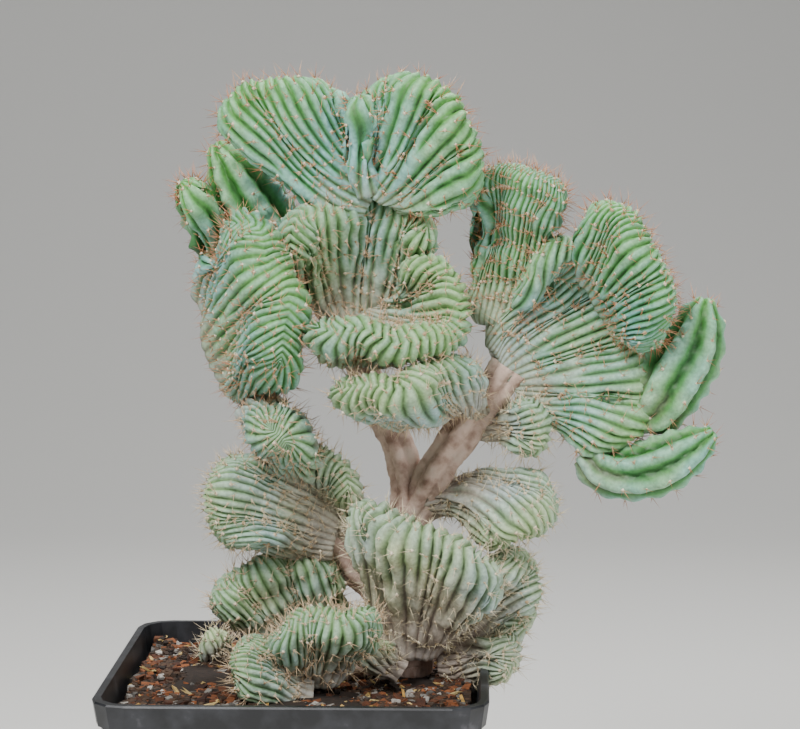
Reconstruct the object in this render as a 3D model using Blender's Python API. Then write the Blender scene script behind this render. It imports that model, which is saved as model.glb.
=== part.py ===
"""A crested blue myrtle cactus in a square nursery pot.

The plant is a woody trunk that forks, with crests on it: stems whose growing point has widened into
a line, so that each one spreads from a narrow root into a thick ribbed fan. A few stems have gone
back to growing as plain ribbed shoots. Sizes here are in millimetres, and the meshes are in metres.
The origin is the middle of the pot's underside, with X to the right, Y to the back and Z up.
"""

from dataclasses import dataclass, field
from math import cos, pi, sin

import bmesh
import bpy
import numpy as np
from mathutils import Matrix, Vector
from mathutils.bvhtree import BVHTree

MM = 0.001

# Pot: a 13 cm square nursery pot with a turned-out band round its rim
POT_TOP_HALF = 65.0
POT_FOOT_HALF = 49.0
POT_HEIGHT = 120.0
POT_WALL = 1.6
POT_CORNER = 12.0
BAND_HEIGHT = 9.0
BAND_STEP = 1.2
FLOOR_THICK = 2.2
DRAIN_RADIUS = 4.5
DRAIN_REACH = 30.0
CORNER_STEPS = 3

# Potting mix
SOIL_TOP = 112.5
SOIL_ROUGH = 1.3
SOIL_CELLS = 11
SOIL_GAP = 0.35
CHIPS = 18
CHIP_SIZE = (2.2, 4.6)
CHIP_EDGE = 54.0
CHIP_CUBE = 1.6
CHIP_TILT = 0.4
SOIL_SIDE_DROP = 4.0

# Flesh
GAP = 0.38
RIB_HEIGHT = 1.7
RIB_SHARE = 0.34
CREST_LEVELS = 3
CREST_CAPS = 1
SHOOT_LEVELS = 8
WAVE = 1.3
WAVE_LENGTH = 24.0
SPLINE_SAMPLES = 801
CURVE_POINTS = 161
PATH_SAMPLES = 41
LAST_CAP = 0.985
LEAVE_REACH = 0.4
ARRIVE_REACH = 0.35
LEVEL_SHARE = 0.97
THICKENS_BY = 1.3
END_LONGEST = 0.6
UV_STEP = 0.01
TRUNK_SIDES = 4
TRUNK_RIDGE = 1.4
TRUNK_WOBBLE = 0.06

# Spines
SPINE_LENGTH = (6.0, 9.0)
SPINE_RADIUS = 0.5
SPINE_SUNK = 1.1
SPINE_CLEAR = 1.3
SPINE_SPACING = 10.5
SPINE_LEAN = 0.5
SEED = 7
SPINE_LOW_SHARE = 0.2
SPINE_TURN = 0.3
SPINE_ABOVE_SOIL = 6.0
SPINE_FOOT_OFF = 0.3
TRIES = 14
NUDGE = 0.03
NEAR = 0.003
LEFT_OUT_EVERY = 6

# How the reference photograph was taken, solved from the pot's rim: the eye's place, its turns in degrees,
# and its focal length and middle in pixels. A stem's points were picked by hand on the photograph, each as
# pixel across, pixel down, and depth along Y in millimetres.
EYE = (60.325, -819.957, 314.147)
EYE_TURN = -1.8205
EYE_DOWN = 6.274
EYE_ROLL = 0.0257
EYE_FOCUS = 2406.2
PHOTO_MIDDLE = (400.0, 364.5)

FLESH_YOUNG = (0.16, 0.36, 0.17)
FLESH_OLD = (0.42, 0.46, 0.36)


@dataclass
class Crest:
    """A fan: ribs leave the root, or the line back, along leaves, and reach rim bent by curls."""

    name: str
    root: tuple
    rim: list
    neck: float
    thick: float
    ribs: int
    back: list = field(default_factory=list)
    leaves: list = field(default_factory=list)
    curls: list = field(default_factory=list)
    age: float = 0.5


@dataclass
class Shoot:
    """A plain ribbed stem along path, as thick as radii say at even steps, with a pointed tip."""

    name: str
    path: list
    radii: list
    ribs: int
    rib_height: float
    age: float = 0.1
    seen: bool = False

    def places(self):
        """The path in millimetres, also where its points were picked on the photograph."""
        return sighted(self.path) if self.seen else self.path


STEMS = [
    Crest("crest_top_right",
          root=(380, 200, 2), neck=8, thick=5.7, ribs=44, age=0.12,
          leaves=[(0, 0, 1), (0.6, -0.1, 0.8), (1, 0, -0.1)],
          rim=[
              (360, 104, 4), (378, 84, 0), (402, 74, -4), (430, 78, -8), (455, 98, -11),
              (472, 130, -12), (481, 160, -10), (480, 188, -5), (466, 208, 0)]),
    Crest("crest_top_left",
          root=(370, 200, 4), neck=8, thick=5.3, ribs=38, age=0.12,
          leaves=[(-1, -0.1, -0.05), (-0.9, -0.1, 0.4), (-0.2, 0, 1)],
          rim=[
              (218, 132, -4), (222, 105, -8), (243, 85, -9), (272, 78, -7), (304, 80, -3),
              (328, 86, 1), (338, 104, 5)]),
    Crest("crest_top_middle",
          root=(368, 196, -1), neck=5, thick=4.2, ribs=14, age=0.15,
          leaves=[(-0.3, -0.2, 1)],
          rim=[
              (344, 108, -6), (354, 96, -7), (370, 96, -5), (378, 108, -2)]),
    Crest("crest_upper_middle",
          root=(352, 322, 16), neck=9, thick=6.1, ribs=44, age=0.45,
          leaves=[(-0.9, -0.3, 0.5), (-0.2, 0, 1), (0.2, 0, 1), (0.7, 0, 0.6)],
          curls=[(0.3, -0.8, -0.2), (0, -0.5, 0), (0, 0, 0), (0, 0, 0), (0.1, -0.2, 0)],
          rim=[
              (296, 268, -12), (287, 243, -14), (297, 220, -12), (318, 206, -6), (345, 200, 0),
              (375, 196, 6), (405, 204, 6), (422, 222, 2), (423, 244, -4)]),
    Crest("crest_middle_right",
          root=(354, 326, 12), neck=9, thick=5.3, ribs=60, age=0.45,
          leaves=[(0.6, 0, 0.6), (1, -0.2, 0.1), (0.6, -0.7, -0.5), (-0.1, -0.9, -0.6)],
          curls=[(0, 0, 0), (0, -0.2, 0), (0, -0.6, 0.4), (0, -0.6, 0.9), (0, -0.6, 0.9)],
          rim=[
              (400, 262, 2), (424, 256, -2), (446, 268, -5), (460, 292, -8), (463, 318, -12),
              (452, 336, -20), (428, 342, -27), (395, 338, -31), (360, 330, -32), (330, 328, -30),
              (306, 320, -24)]),
    Crest("crest_middle_low",
          root=(472, 402, 8), neck=8, thick=5.7, ribs=50, age=0.6,
          leaves=[(-0.8, -0.4, -0.5), (-0.7, -0.5, -0.2), (-0.2, -0.5, 0.6)],
          curls=[(0, -0.5, 0.9)],
          rim=[
              (328, 380, -22), (345, 385, -28), (372, 388, -33), (398, 385, -34), (416, 371, -30),
              (436, 361, -22), (458, 357, -12), (474, 360, -2)]),
    Crest("crest_right",
          root=(505, 374, 10), neck=11, thick=6, ribs=76, age=0.3,
          leaves=[(0, 0, 1), (0.4, 0.2, 0.9), (0.8, 0, 0.5), (1, 0, 0), (0.7, 0, -0.8)],
          rim=[
              (526, 262, 0), (542, 245, -2), (566, 240, 0), (588, 248, 8), (612, 262, 12),
              (632, 290, 14), (646, 320, 12), (656, 350, 8), (664, 380, 4), (662, 408, 2),
              (648, 430, -2), (622, 446, -2), (592, 462, 2)]),
    Crest("crest_right_upper",
          root=(496, 326, 14), neck=9, thick=5.8, ribs=52, age=0.15,
          leaves=[(-0.3, 0, 1), (0.2, 0, 1), (0.6, 0, 0.9)],
          curls=[(0, 0, 0), (0, -0.2, 0), (0, -0.4, 0), (0.3, -0.5, 0)],
          rim=[
              (478, 184, 9), (486, 172, 7), (500, 166, 4), (520, 170, 0), (540, 176, -4), (560, 186, -8),
              (573, 200, -7)]),
    Crest("crest_right_roll",
          root=(600, 290, 0), neck=6, thick=7.2, ribs=60, age=0.1,
          back=[(584, 262, 2), (594, 284, 2), (610, 308, 2), (628, 336, 2)],
          leaves=[(-0.2, -0.6, 0.8), (0.6, -0.8, 0.4), (0.7, -0.8, 0), (0.5, -0.7, -0.5)],
          curls=[(0, 0, 0.2), (0.5, 0.2, 0.3), (0.6, 0.3, 0), (0.4, 0.2, -0.3)],
          rim=[
              (584, 222, -8), (592, 205, -12), (608, 203, -15), (626, 209, -18), (644, 224, -20),
              (658, 250, -22), (669, 280, -22), (676, 306, -20), (667, 332, -16), (652, 356, -10)]),
    Crest("crest_right_inner",
          root=(480, 424, 10), neck=6, thick=4.6, ribs=26, age=0.7,
          leaves=[(1, -0.2, 0)],
          rim=[
              (512, 400, -2), (536, 404, -8), (546, 424, -10), (540, 446, -10), (520, 458, -6)]),
    Crest("crest_right_low",
          root=(424, 508, 14), neck=7, thick=5.7, ribs=38, age=0.75,
          leaves=[(0.8, -0.1, 0.5), (0.9, -0.2, 0.5)],
          curls=[(0.1, -0.5, -0.9), (0.2, -0.5, -0.9), (0.4, -0.2, -0.4)],
          rim=[
              (476, 536, -10), (500, 541, -14), (522, 536, -16), (543, 530, -14), (556, 512, -9),
              (555, 492, -2), (540, 476, 6)]),
    Crest("crest_front",
          root=(414, 652, 2), neck=9, thick=6.5, ribs=40, age=0.8,
          leaves=[(-0.5, -0.2, 0.9), (0, -0.3, 1), (0.6, -0.3, 0.7)],
          curls=[(0, -0.2, 0.6)],
          rim=[
              (346, 540, -14), (350, 512, -18), (366, 504, -20), (386, 514, -24), (408, 524, -28),
              (432, 533, -30), (455, 542, -30), (478, 553, -28), (496, 568, -24), (504, 590, -18)]),
    Crest("crest_front_right",
          root=(446, 640, 6), neck=7, thick=6.1, ribs=34, age=0.85,
          leaves=[(0.9, 0, 0.4)],
          curls=[(0.6, 0, 0)],
          rim=[
              (492, 558, -6), (514, 553, -4), (534, 562, 0), (542, 580, 2), (541, 600, 2),
              (528, 616, 0), (508, 624, -4)]),
    Crest("crest_low_right",
          root=(440, 662, 4), neck=6, thick=5.7, ribs=26, age=0.9,
          leaves=[(1, -0.2, 0.1)],
          curls=[(0.5, -0.5, 0)],
          rim=[
              (488, 636, -4), (508, 636, -8), (517, 650, -10), (508, 666, -12), (488, 672, -12)]),
    Crest("column_left",
          root=(240, 330, 6), neck=8, thick=9.9, ribs=56, age=0.2,
          back=[(228, 280, 12), (216, 300, 12), (225, 350, 14), (245, 400, 12)],
          leaves=[(0.1, -0.2, 1), (0.3, -0.6, 0.5), (0.5, -0.8, 0), (0.3, -0.9, 0)],
          curls=[(0, -0.6, 0.5), (0.3, -0.9, 0), (0.3, -0.9, 0)],
          rim=[
              (212, 236, -8), (232, 222, -14), (252, 226, -20), (268, 248, -25), (279, 276, -28),
              (286, 304, -30), (286, 332, -30), (278, 358, -28), (268, 384, -24)]),
    Crest("column_left_low",
          root=(300, 480, 10), neck=8, thick=9.1, ribs=26, age=0.5,
          back=[(240, 402, 10), (268, 420, 14), (290, 450, 14), (312, 480, 12)],
          leaves=[(0.2, -0.9, 0)],
          curls=[(0.2, -0.9, 0)],
          rim=[
              (262, 404, -22), (272, 424, -25), (284, 444, -24), (288, 468, -20)]),
    Crest("crest_left",
          root=(334, 536, 12), neck=8, thick=6.1, ribs=44, age=0.65,
          leaves=[(-0.6, 0, 0.8), (-1, -0.1, 0.2), (-0.8, -0.2, -0.2)],
          curls=[(-0.4, -0.4, 0)],
          rim=[
              (246, 450, -2), (225, 458, -8), (209, 476, -12), (207, 498, -14), (212, 522, -14),
              (228, 542, -12), (252, 552, -8)]),
    Crest("crest_left_back",
          root=(330, 540, 16), neck=7, thick=5.3, ribs=24, age=0.75,
          leaves=[(-0.1, 0, 1), (0.2, 0, 1)],
          rim=[
              (300, 448, 8), (322, 444, 6), (338, 460, 4), (345, 486, 2), (345, 506, 2)]),
    Crest("crest_low_left_back",
          root=(312, 660, 16), neck=9, thick=6.1, ribs=48, age=0.6,
          leaves=[(-0.9, 0, 0.5), (-0.2, 0, 1), (0.5, 0, 0.9)],
          rim=[
              (214, 618, -6), (213, 596, -4), (233, 572, 0), (260, 556, 4), (292, 552, 8),
              (322, 556, 11), (346, 572, 14)]),
    Crest("crest_low_left_side",
          root=(312, 694, -20), neck=7, thick=5.7, ribs=34, age=0.6,
          leaves=[(-1, -0.1, 0.1)],
          curls=[(-0.5, -0.3, 0)],
          rim=[
              (236, 700, -36), (233, 680, -38), (234, 660, -37), (244, 644, -34), (262, 634, -31)]),
    Crest("crest_low_left_front",
          root=(316, 680, -16), neck=8, thick=6.1, ribs=40, age=0.55,
          leaves=[(-0.6, -0.2, 0.7), (0, -0.3, 1), (0.7, -0.2, 0.8)],
          curls=[(0, -0.3, 0.8)],
          rim=[
              (268, 634, -33), (290, 620, -36), (318, 613, -38), (346, 610, -38), (370, 613, -35),
              (386, 622, -30)]),
    Crest("crest_soil_front",
          root=(398, 674, -6), neck=5, thick=3.8, ribs=16, age=0.9,
          leaves=[(-0.8, -0.1, 0.6)],
          rim=[
              (352, 656, -14), (362, 646, -14), (380, 644, -12), (394, 650, -10)]),
    Crest("crest_soil_left",
          root=(216, 668, 24), neck=5, thick=4.6, ribs=20, age=0.8,
          leaves=[(0, 0, 1)],
          rim=[
              (196, 650, 22), (204, 634, 20), (220, 630, 20), (234, 640, 24)]),
    Crest("crest_far_left",
          root=(238, 296, 20), neck=7, thick=6.1, ribs=18, age=0.1,
          leaves=[(-0.6, 0, 0.9)],
          curls=[(-0.3, -0.2, 0.5)],
          rim=[
              (182, 205, 4), (181, 184, 2), (194, 176, 4), (210, 182, 8)]),
    Shoot("shoot_right_upper", seen=True,
          path=[(640, 420, 4), (655, 408, 2), (674, 378, 0), (691, 345, 0), (702, 312, -1), (705, 300, -1)],
          radii=[6, 8.5, 10, 10.8, 11, 10.8, 10, 8.6, 6.4, 2.4], ribs=6, rib_height=3.4),
    Shoot("shoot_right_lower", seen=True,
          path=[(586, 452, 4), (602, 468, 2), (628, 473, -1), (658, 466, -4), (688, 449, -6), (712, 431, -7)],
          radii=[5, 7, 8, 8.4, 8.8, 9, 8.6, 7.4, 5.4, 2.2], ribs=6, rib_height=3.2),
    Shoot("shoot_upper_left", path=[(-1, 23, 257), (-15, 20, 275), (-25, 15, 291), (-30, 13, 299)],
          radii=[5, 8, 9.5, 10.5, 11, 11, 10.4, 9, 6.5, 2.5], ribs=7, rib_height=3.2),
]

# The trunk and its forks: points along each, and the radius at its two ends
TRUNK = [
    ([(39, 13, 62), (38, 13, 116), (39, 14, 139), (38, 13, 160), (37, 12, 174)], 8.5, 6.5),
    ([(38, 13, 168), (48, 8, 188), (58, 8, 202), (68, 9, 216), (72, 9, 222)], 6.0, 6.2),
    ([(37, 13, 168), (35, 14, 189), (29, 16, 203), (21, 18, 220), (17, 18, 234)], 5.5, 5.0),
    ([(19, 18, 226), (8, 24, 242), (0, 24, 256)], 4.5, 4.5),
    ([(39, 14, 130), (27, 20, 141), (16, 18, 152), (11, 15, 163)], 6.5, 5.5),
    ([(12, 16, 158), (6, 18, 174), (-2, 19, 188), (-12, 20, 202), (-21, 18, 216)], 5.5, 5.0),
    ([(39, 12, 120), (18, 4, 119), (6, -8, 117)], 6.0, 5.0),
]


def sighted(points):
    """Points picked on the photograph, each with its depth, as places in whole millimetres."""
    turn, down, roll = (angle * pi / 180 for angle in (EYE_TURN, EYE_DOWN, EYE_ROLL))
    ahead = np.array([sin(turn) * cos(down), cos(turn) * cos(down), -sin(down)])
    level = np.array([cos(turn), -sin(turn), 0.0])
    upright = np.cross(level, ahead)
    right = level * cos(roll) + upright * sin(roll)
    up = upright * cos(roll) - level * sin(roll)
    points = np.atleast_2d(np.asarray(points, float))
    across, drop = ((points[:, k, None] - PHOTO_MIDDLE[k]) / EYE_FOCUS for k in (0, 1))
    ways = ahead + right * across - up * drop
    reach = (points[:, 2] - EYE[1]) / ways[:, 1]
    return np.round(np.array(EYE) + ways * reach[:, None])


def unit(vectors):
    """The vectors at length 1."""
    vectors = np.asarray(vectors, float)
    return vectors / np.maximum(np.linalg.norm(vectors, axis=-1, keepdims=True), 1e-9)


def ease(x):
    """0 to 1 with a smooth start and end."""
    x = np.clip(x, 0, 1)
    return x * x * (3 - 2 * x)


def spline(points, u):
    """A smooth curve through the points, at u from -1 to 1."""
    p = np.asarray(points, float)
    if len(p) == 1:
        return np.repeat(p, len(u), 0)
    steps = np.linalg.norm(np.diff(p, axis=0), axis=1) ** 0.75 + 1e-6
    knots = np.concatenate([[0], np.cumsum(steps)]) / steps.sum()
    slopes = np.empty_like(p)
    slopes[1:-1] = (p[2:] - p[:-2]) / (knots[2:] - knots[:-2])[:, None]
    slopes[0] = (p[1] - p[0]) / (knots[1] - knots[0])
    slopes[-1] = (p[-1] - p[-2]) / (knots[-1] - knots[-2])
    x = np.clip((np.asarray(u) + 1) / 2, 0, 1)
    i = np.clip(np.searchsorted(knots, x, side="right") - 1, 0, len(p) - 2)
    span = (knots[i + 1] - knots[i])[:, None]
    s = ((x - knots[i]) / (knots[i + 1] - knots[i]))[:, None]
    near = (2 * s**3 - 3 * s**2 + 1) * p[i] + (s**3 - 2 * s**2 + s) * span * slopes[i]
    far = (3 * s**2 - 2 * s**3) * p[i + 1] + (s**3 - s**2) * span * slopes[i + 1]
    return near + far


def even_curve(points, count):
    """The curve through the points, at even steps along it, and its length."""
    dense = spline(points, np.linspace(-1, 1, SPLINE_SAMPLES))
    run = np.concatenate([[0], np.cumsum(np.linalg.norm(np.diff(dense, axis=0), axis=1))])
    at = np.linspace(0, run[-1], count)
    return np.stack([np.interp(at, run, dense[:, k]) for k in range(3)], -1), run[-1]


class Sheet:
    """The middle surface of a crest: u runs along its rim from -1 to 1, and w from root to rim."""

    def __init__(self, crest):
        self.u = np.linspace(-1, 1, CURVE_POINTS)
        rim, length = even_curve(sighted(crest.rim), CURVE_POINTS)
        root = sighted(crest.root)[0]
        leaves = crest.leaves or [unit(rim.mean(0) - root)]
        if crest.back:
            base, _ = even_curve(sighted(crest.back), CURVE_POINTS)
        else:
            middle = unit(leaves[len(leaves) // 2])
            side = unit(rim[-1] - rim[0])
            side = unit(side - middle * (side @ middle))
            base = root + side * (crest.neck * self.u)[:, None]
        along = unit(np.gradient(rim, axis=0))
        radial = unit(rim - base)
        across = unit(radial - along * (radial * along).sum(1)[:, None])
        flat = unit(np.cross(along, across))
        waves = max(1, round(length / WAVE_LENGTH))
        swing = WAVE * np.sin(pi * waves * (self.u + 1)) * (1 - self.u**4)
        rim = rim + flat * swing[:, None]
        arrives = radial + across
        if crest.curls:
            arrives = unit(arrives) + spline(crest.curls, self.u)
        for _ in range(CURVE_POINTS // 8):
            arrives[1:-1] = (arrives[:-2] + 2 * arrives[1:-1] + arrives[2:]) / 4
        reach = np.linalg.norm(rim - base, axis=1)[:, None]
        first = base + LEAVE_REACH * reach * unit(spline(leaves, self.u))
        last = rim - ARRIVE_REACH * reach * unit(arrives)
        self.guides = (base, first, last, rim)
        self.w = np.linspace(0, 1, PATH_SAMPLES)
        paths = self.at(self.u, np.tile(self.w, (CURVE_POINTS, 1)))
        steps = np.linalg.norm(np.diff(paths, axis=1), axis=2)
        runs = np.concatenate([np.zeros((CURVE_POINTS, 1)), np.cumsum(steps, 1)], 1)
        self.lengths = runs[:, -1]
        self.shares = runs / self.lengths[:, None]

    def at(self, u, w):
        """Points of the sheet, for one u in each row and that row's values of w."""
        guides = [
            np.stack([np.interp(u, self.u, g[:, k]) for k in range(3)], -1)[:, None, :]
            for g in self.guides
        ]
        w = np.asarray(w)[..., None]
        shares = ((1 - w) ** 3, 3 * w * (1 - w) ** 2, 3 * w * w * (1 - w), w**3)
        return sum(g * s for g, s in zip(guides, shares))

    def w_at(self, u, share):
        """The w that lies at a share of the way along each rib's path."""
        column = np.clip((u + 1) / 2 * (CURVE_POINTS - 1), 0, CURVE_POINTS - 1.001)
        low = column.astype(int)
        part = (column - low)[:, None]
        tables = self.shares[low] * (1 - part) + self.shares[low + 1] * part
        return np.array([np.interp(s, table, self.w) for s, table in zip(share, tables)])


def stadium(count, half_width, half_thick):
    """A flat ring with round ends: across from -1 to 1, and out from -1 to 1, at even steps."""
    straight = 2 * (half_width - half_thick)
    quarter = pi * half_thick / 2
    across, out = np.empty(count), np.empty(count)
    for k in range(count):
        run = k / count * (2 * straight + 4 * quarter)
        if run < quarter:
            turn, centre = run / half_thick, half_width - half_thick
        elif run < quarter + straight:
            turn, centre = pi / 2, half_width - half_thick - (run - quarter)
        elif run < 3 * quarter + straight:
            turn, centre = (run - straight) / half_thick, half_thick - half_width
        elif run < 3 * quarter + 2 * straight:
            turn = 3 * pi / 2
            centre = half_thick - half_width + (run - 3 * quarter - straight)
        else:
            turn, centre = (run - 2 * straight) / half_thick, half_width - half_thick
        across[k] = (centre + half_thick * cos(turn)) / half_width
        out[k] = sin(turn)
    return across, out


def crest_rings(crest, columns, levels, caps):
    """The smooth skin of a crest as rings of points, from the root to the rim."""
    sheet = Sheet(crest)
    neck_thick = min(crest.thick, crest.neck)
    rows = [(share, 0.0) for share in np.linspace(0, 1, levels + 1)]
    rows += [(1.0, pi / 2 * step / (caps + 1)) for step in range(1, caps + 1)]
    rows += [(1.0, pi / 2 * LAST_CAP)]
    rings = []
    for share, cap in rows:
        line = np.linspace(-1, 1, PATH_SAMPLES)
        level = sheet.at(line, sheet.w_at(line, np.full(PATH_SAMPLES, share * LEVEL_SHARE))[:, None])
        half_width = np.linalg.norm(np.diff(level[:, 0], axis=0), axis=1).sum() / 2
        thick = neck_thick + (crest.thick - neck_thick) * ease(share * THICKENS_BY)
        thick = min(thick, half_width * 0.999)
        u, out = stadium(columns, half_width, thick)
        u = u * (half_width - thick * (1 - cos(cap))) / half_width
        end = np.minimum(crest.thick / np.interp(u, sheet.u, sheet.lengths), END_LONGEST)
        w = sheet.w_at(u, share * (1 - end) + end * sin(cap))
        here = w[:, None]
        along = sheet.at(np.minimum(u + UV_STEP, 1), here) - sheet.at(np.maximum(u - UV_STEP, -1), here)
        up = sheet.at(u, np.minimum(here + UV_STEP, 1)) - sheet.at(u, np.maximum(here - UV_STEP, 0))
        normal = unit(np.cross(along[:, 0], up[:, 0]))
        rings.append(sheet.at(u, w[:, None])[:, 0] + normal * (out * thick * cos(cap))[:, None])
    return np.array(rings)


def shoot_rings(shoot, columns, levels):
    """The smooth skin of a plain shoot as rings of points, from its foot to its tip."""
    line, _ = even_curve(shoot.places(), levels + 1)
    ahead = unit(np.gradient(line, axis=0))
    side = unit(np.cross(ahead, [0.0, 1.0, 0.0]))
    front = np.cross(ahead, side)
    radii = np.interp(np.linspace(0, 1, levels + 1), np.linspace(0, 1, len(shoot.radii)), shoot.radii)
    turn = 2 * pi * np.arange(columns) / columns
    circle = side[:, None] * np.cos(turn)[None, :, None] + front[:, None] * np.sin(turn)[None, :, None]
    return line[:, None] + circle * radii[:, None, None]


def normals_of(rings):
    """Unit normals of a grid of rings, pointing out."""
    along = np.roll(rings, -1, 1) - np.roll(rings, 1, 1)
    up = np.gradient(rings, axis=0)
    normal = unit(np.cross(along, up))
    middle = len(rings) // 2
    outward = rings[middle] - rings[middle].mean(0)
    return -normal if (outward * normal[middle]).sum() < 0 else normal


def ribbed(rings, ribs, height, grow=0.0):
    """The rings with ribs raised on them, a peak and a groove for each, and grown all over by grow."""
    rings = rings.copy()
    rings[0] -= grow * unit(rings[1] - rings[0])
    rings[-1] += grow * unit(rings[-1] - rings[-2])
    columns = rings.shape[1]
    wave = np.where(np.arange(columns) % 2 == 0, 1.0, -1.0)
    ring_length = np.linalg.norm(np.roll(rings, -1, 1) - rings, axis=2).sum(1)
    heights = np.minimum(height, RIB_SHARE * ring_length / ribs)
    return rings + normals_of(rings) * (wave[None] * heights[:, None] / 2 + grow)[..., None]


def skin_mesh(name, rings):
    """A closed mesh from rings: quads between them, and each end sewn across from side to side."""
    levels, columns = rings.shape[:2]
    work = bmesh.new()
    points = [[work.verts.new(Vector(p) * MM) for p in ring] for ring in rings]
    for low, high in zip(points, points[1:]):
        for k in range(columns):
            n = (k + 1) % columns
            work.faces.new((low[k], low[n], high[n], high[k]))
    for ring in (points[0], points[-1]):
        for k in range(columns // 2):
            corners = (ring[k], ring[k + 1], ring[(-k - 1) % columns], ring[-k % columns])
            work.faces.new(list(dict.fromkeys(corners)))
    bmesh.ops.recalc_face_normals(work, faces=work.faces)
    bmesh.ops.triangulate(work, faces=work.faces)
    if work.calc_volume(signed=True) < 0:
        bmesh.ops.reverse_faces(work, faces=work.faces)
    mesh = bpy.data.meshes.new(name)
    work.to_mesh(mesh)
    work.free()
    return mesh


def flesh_rings(stem, grow=0.0):
    """The ribbed skin of a crest or a shoot, grown all over by grow."""
    if isinstance(stem, Shoot):
        rings = shoot_rings(stem, 2 * stem.ribs, SHOOT_LEVELS)
        return ribbed(rings, stem.ribs, stem.rib_height, grow)
    ribs = max(4, stem.ribs // 5 * 2)
    rings = crest_rings(stem, 2 * ribs, CREST_LEVELS, CREST_CAPS)
    return ribbed(rings, ribs, RIB_HEIGHT, grow)


def material(name, colour, roughness):
    """A plain material with the piece's colour."""
    made = bpy.data.materials.new(name)
    made.use_nodes = True
    shader = made.node_tree.nodes["Principled BSDF"]
    shader.inputs["Base Color"].default_value = (*colour, 1)
    shader.inputs["Roughness"].default_value = roughness
    return made


def add_object(name, mesh, collection, finish=None):
    """A new object in the collection."""
    if finish:
        mesh.materials.append(finish)
    made = bpy.data.objects.new(name, mesh)
    collection.objects.link(made)
    return made


def boolean(target, others, operation, spare, solver="EXACT"):
    """Joins or cuts the target with the other objects in one go, and removes them."""
    for other in others:
        spare.objects.link(other)
    modifier = target.modifiers.new(operation.title(), "BOOLEAN")
    modifier.operation = operation
    modifier.operand_type = "COLLECTION"
    modifier.collection = spare
    modifier.solver = solver
    graph = bpy.context.evaluated_depsgraph_get()
    graph.update()
    mesh = bpy.data.meshes.new_from_object(target.evaluated_get(graph))
    target.modifiers.clear()
    target.data = mesh
    for other in others:
        bpy.data.objects.remove(other)


def keep_largest(mesh):
    """Drops the loose scraps that a cut has left."""
    work = bmesh.new()
    work.from_mesh(mesh)
    left, pieces = set(work.verts), []
    while left:
        piece, front = set(), [left.pop()]
        while front:
            vertex = front.pop()
            piece.add(vertex)
            near = {edge.other_vert(vertex) for edge in vertex.link_edges} & left
            left -= near
            front.extend(near)
        pieces.append(piece)
    pieces.sort(key=len)
    scraps = [vertex for piece in pieces[:-1] for vertex in piece]
    bmesh.ops.delete(work, geom=scraps, context="VERTS")
    work.to_mesh(mesh)
    work.free()


def clean_up(mesh):
    """Cuts a mesh into triangles without slivers, and tells whether it is then sound.

    A sound mesh has two faces at every edge, and no two corners that touch.
    """
    work = bmesh.new()
    work.from_mesh(mesh)
    bmesh.ops.dissolve_degenerate(work, dist=NEAR * MM, edges=work.edges)
    bmesh.ops.triangulate(work, faces=work.faces)
    work.to_mesh(mesh)
    sound = all(edge.is_manifold for edge in work.edges) and all(v.is_manifold for v in work.verts)
    sound = sound and not bmesh.ops.find_doubles(work, verts=work.verts, dist=NEAR * MM)["targetmap"]
    work.free()
    return sound


def rounded_square(half, corner, z):
    """A ring of points round a square with round corners."""
    points = []
    for quarter in range(4):
        turn = quarter * pi / 2 + pi / 4
        centre = (half - corner) * 2**0.5
        for step in range(CORNER_STEPS + 1):
            angle = turn - pi / 4 + step / CORNER_STEPS * pi / 2
            x = centre * cos(turn) + corner * cos(angle)
            y = centre * sin(turn) + corner * sin(angle)
            points.append((x, y, z))
    return points


def pot_half(z):
    """The half width of the pot's outside at a height."""
    return POT_FOOT_HALF + (POT_TOP_HALF - BAND_STEP - POT_FOOT_HALF) * z / POT_HEIGHT


def square_loft(name, levels):
    """A closed mesh through rounded squares, each given as half width, corner radius and height."""
    work = bmesh.new()
    rings = [[work.verts.new(Vector(p) * MM) for p in rounded_square(*level)] for level in levels]
    for low, high in zip(rings, rings[1:]):
        for k in range(len(low)):
            n = (k + 1) % len(low)
            work.faces.new((low[k], low[n], high[n], high[k]))
    for ring in (rings[0], rings[-1]):
        work.faces.new(ring)
    bmesh.ops.recalc_face_normals(work, faces=work.faces)
    mesh = bpy.data.meshes.new(name)
    work.to_mesh(mesh)
    work.free()
    return mesh


def make_pot(parts, spare):
    """The pot: a tapered square cup, its rim band, and four drain holes in its floor."""
    band = POT_HEIGHT - BAND_HEIGHT
    outside = [
        (pot_half(0) - 1, POT_CORNER - 1, 0),
        (pot_half(1), POT_CORNER, 1),
        (pot_half(band), POT_CORNER, band),
        (pot_half(band) + BAND_STEP, POT_CORNER, band + 0.5),
        (POT_TOP_HALF, POT_CORNER, POT_HEIGHT - 0.6),
        (POT_TOP_HALF - 0.5, POT_CORNER - 0.5, POT_HEIGHT),
    ]
    inside = [
        (pot_half(POT_HEIGHT) - POT_WALL, POT_CORNER - POT_WALL, POT_HEIGHT),
        (pot_half(FLOOR_THICK) - POT_WALL, POT_CORNER - POT_WALL, FLOOR_THICK),
    ]
    finish = material("pot_plastic", (0.02, 0.021, 0.026), 0.5)
    pot = add_object("pot", square_loft("pot", outside + inside), parts, finish)
    drills = []
    for quarter in range(4):
        turn = quarter * pi / 2 + pi / 4
        place = Matrix.Translation(Vector((DRAIN_REACH * cos(turn), DRAIN_REACH * sin(turn), 1)) * MM)
        mesh = bpy.data.meshes.new("drill")
        work = bmesh.new()
        bmesh.ops.create_cone(
            work, cap_ends=True, segments=10, radius1=DRAIN_RADIUS * MM, radius2=DRAIN_RADIUS * MM,
            depth=4 * FLOOR_THICK * MM, matrix=place)
        work.to_mesh(mesh)
        work.free()
        drills.append(bpy.data.objects.new("drill", mesh))
    boolean(pot, drills, "DIFFERENCE", spare)
    return pot


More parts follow.
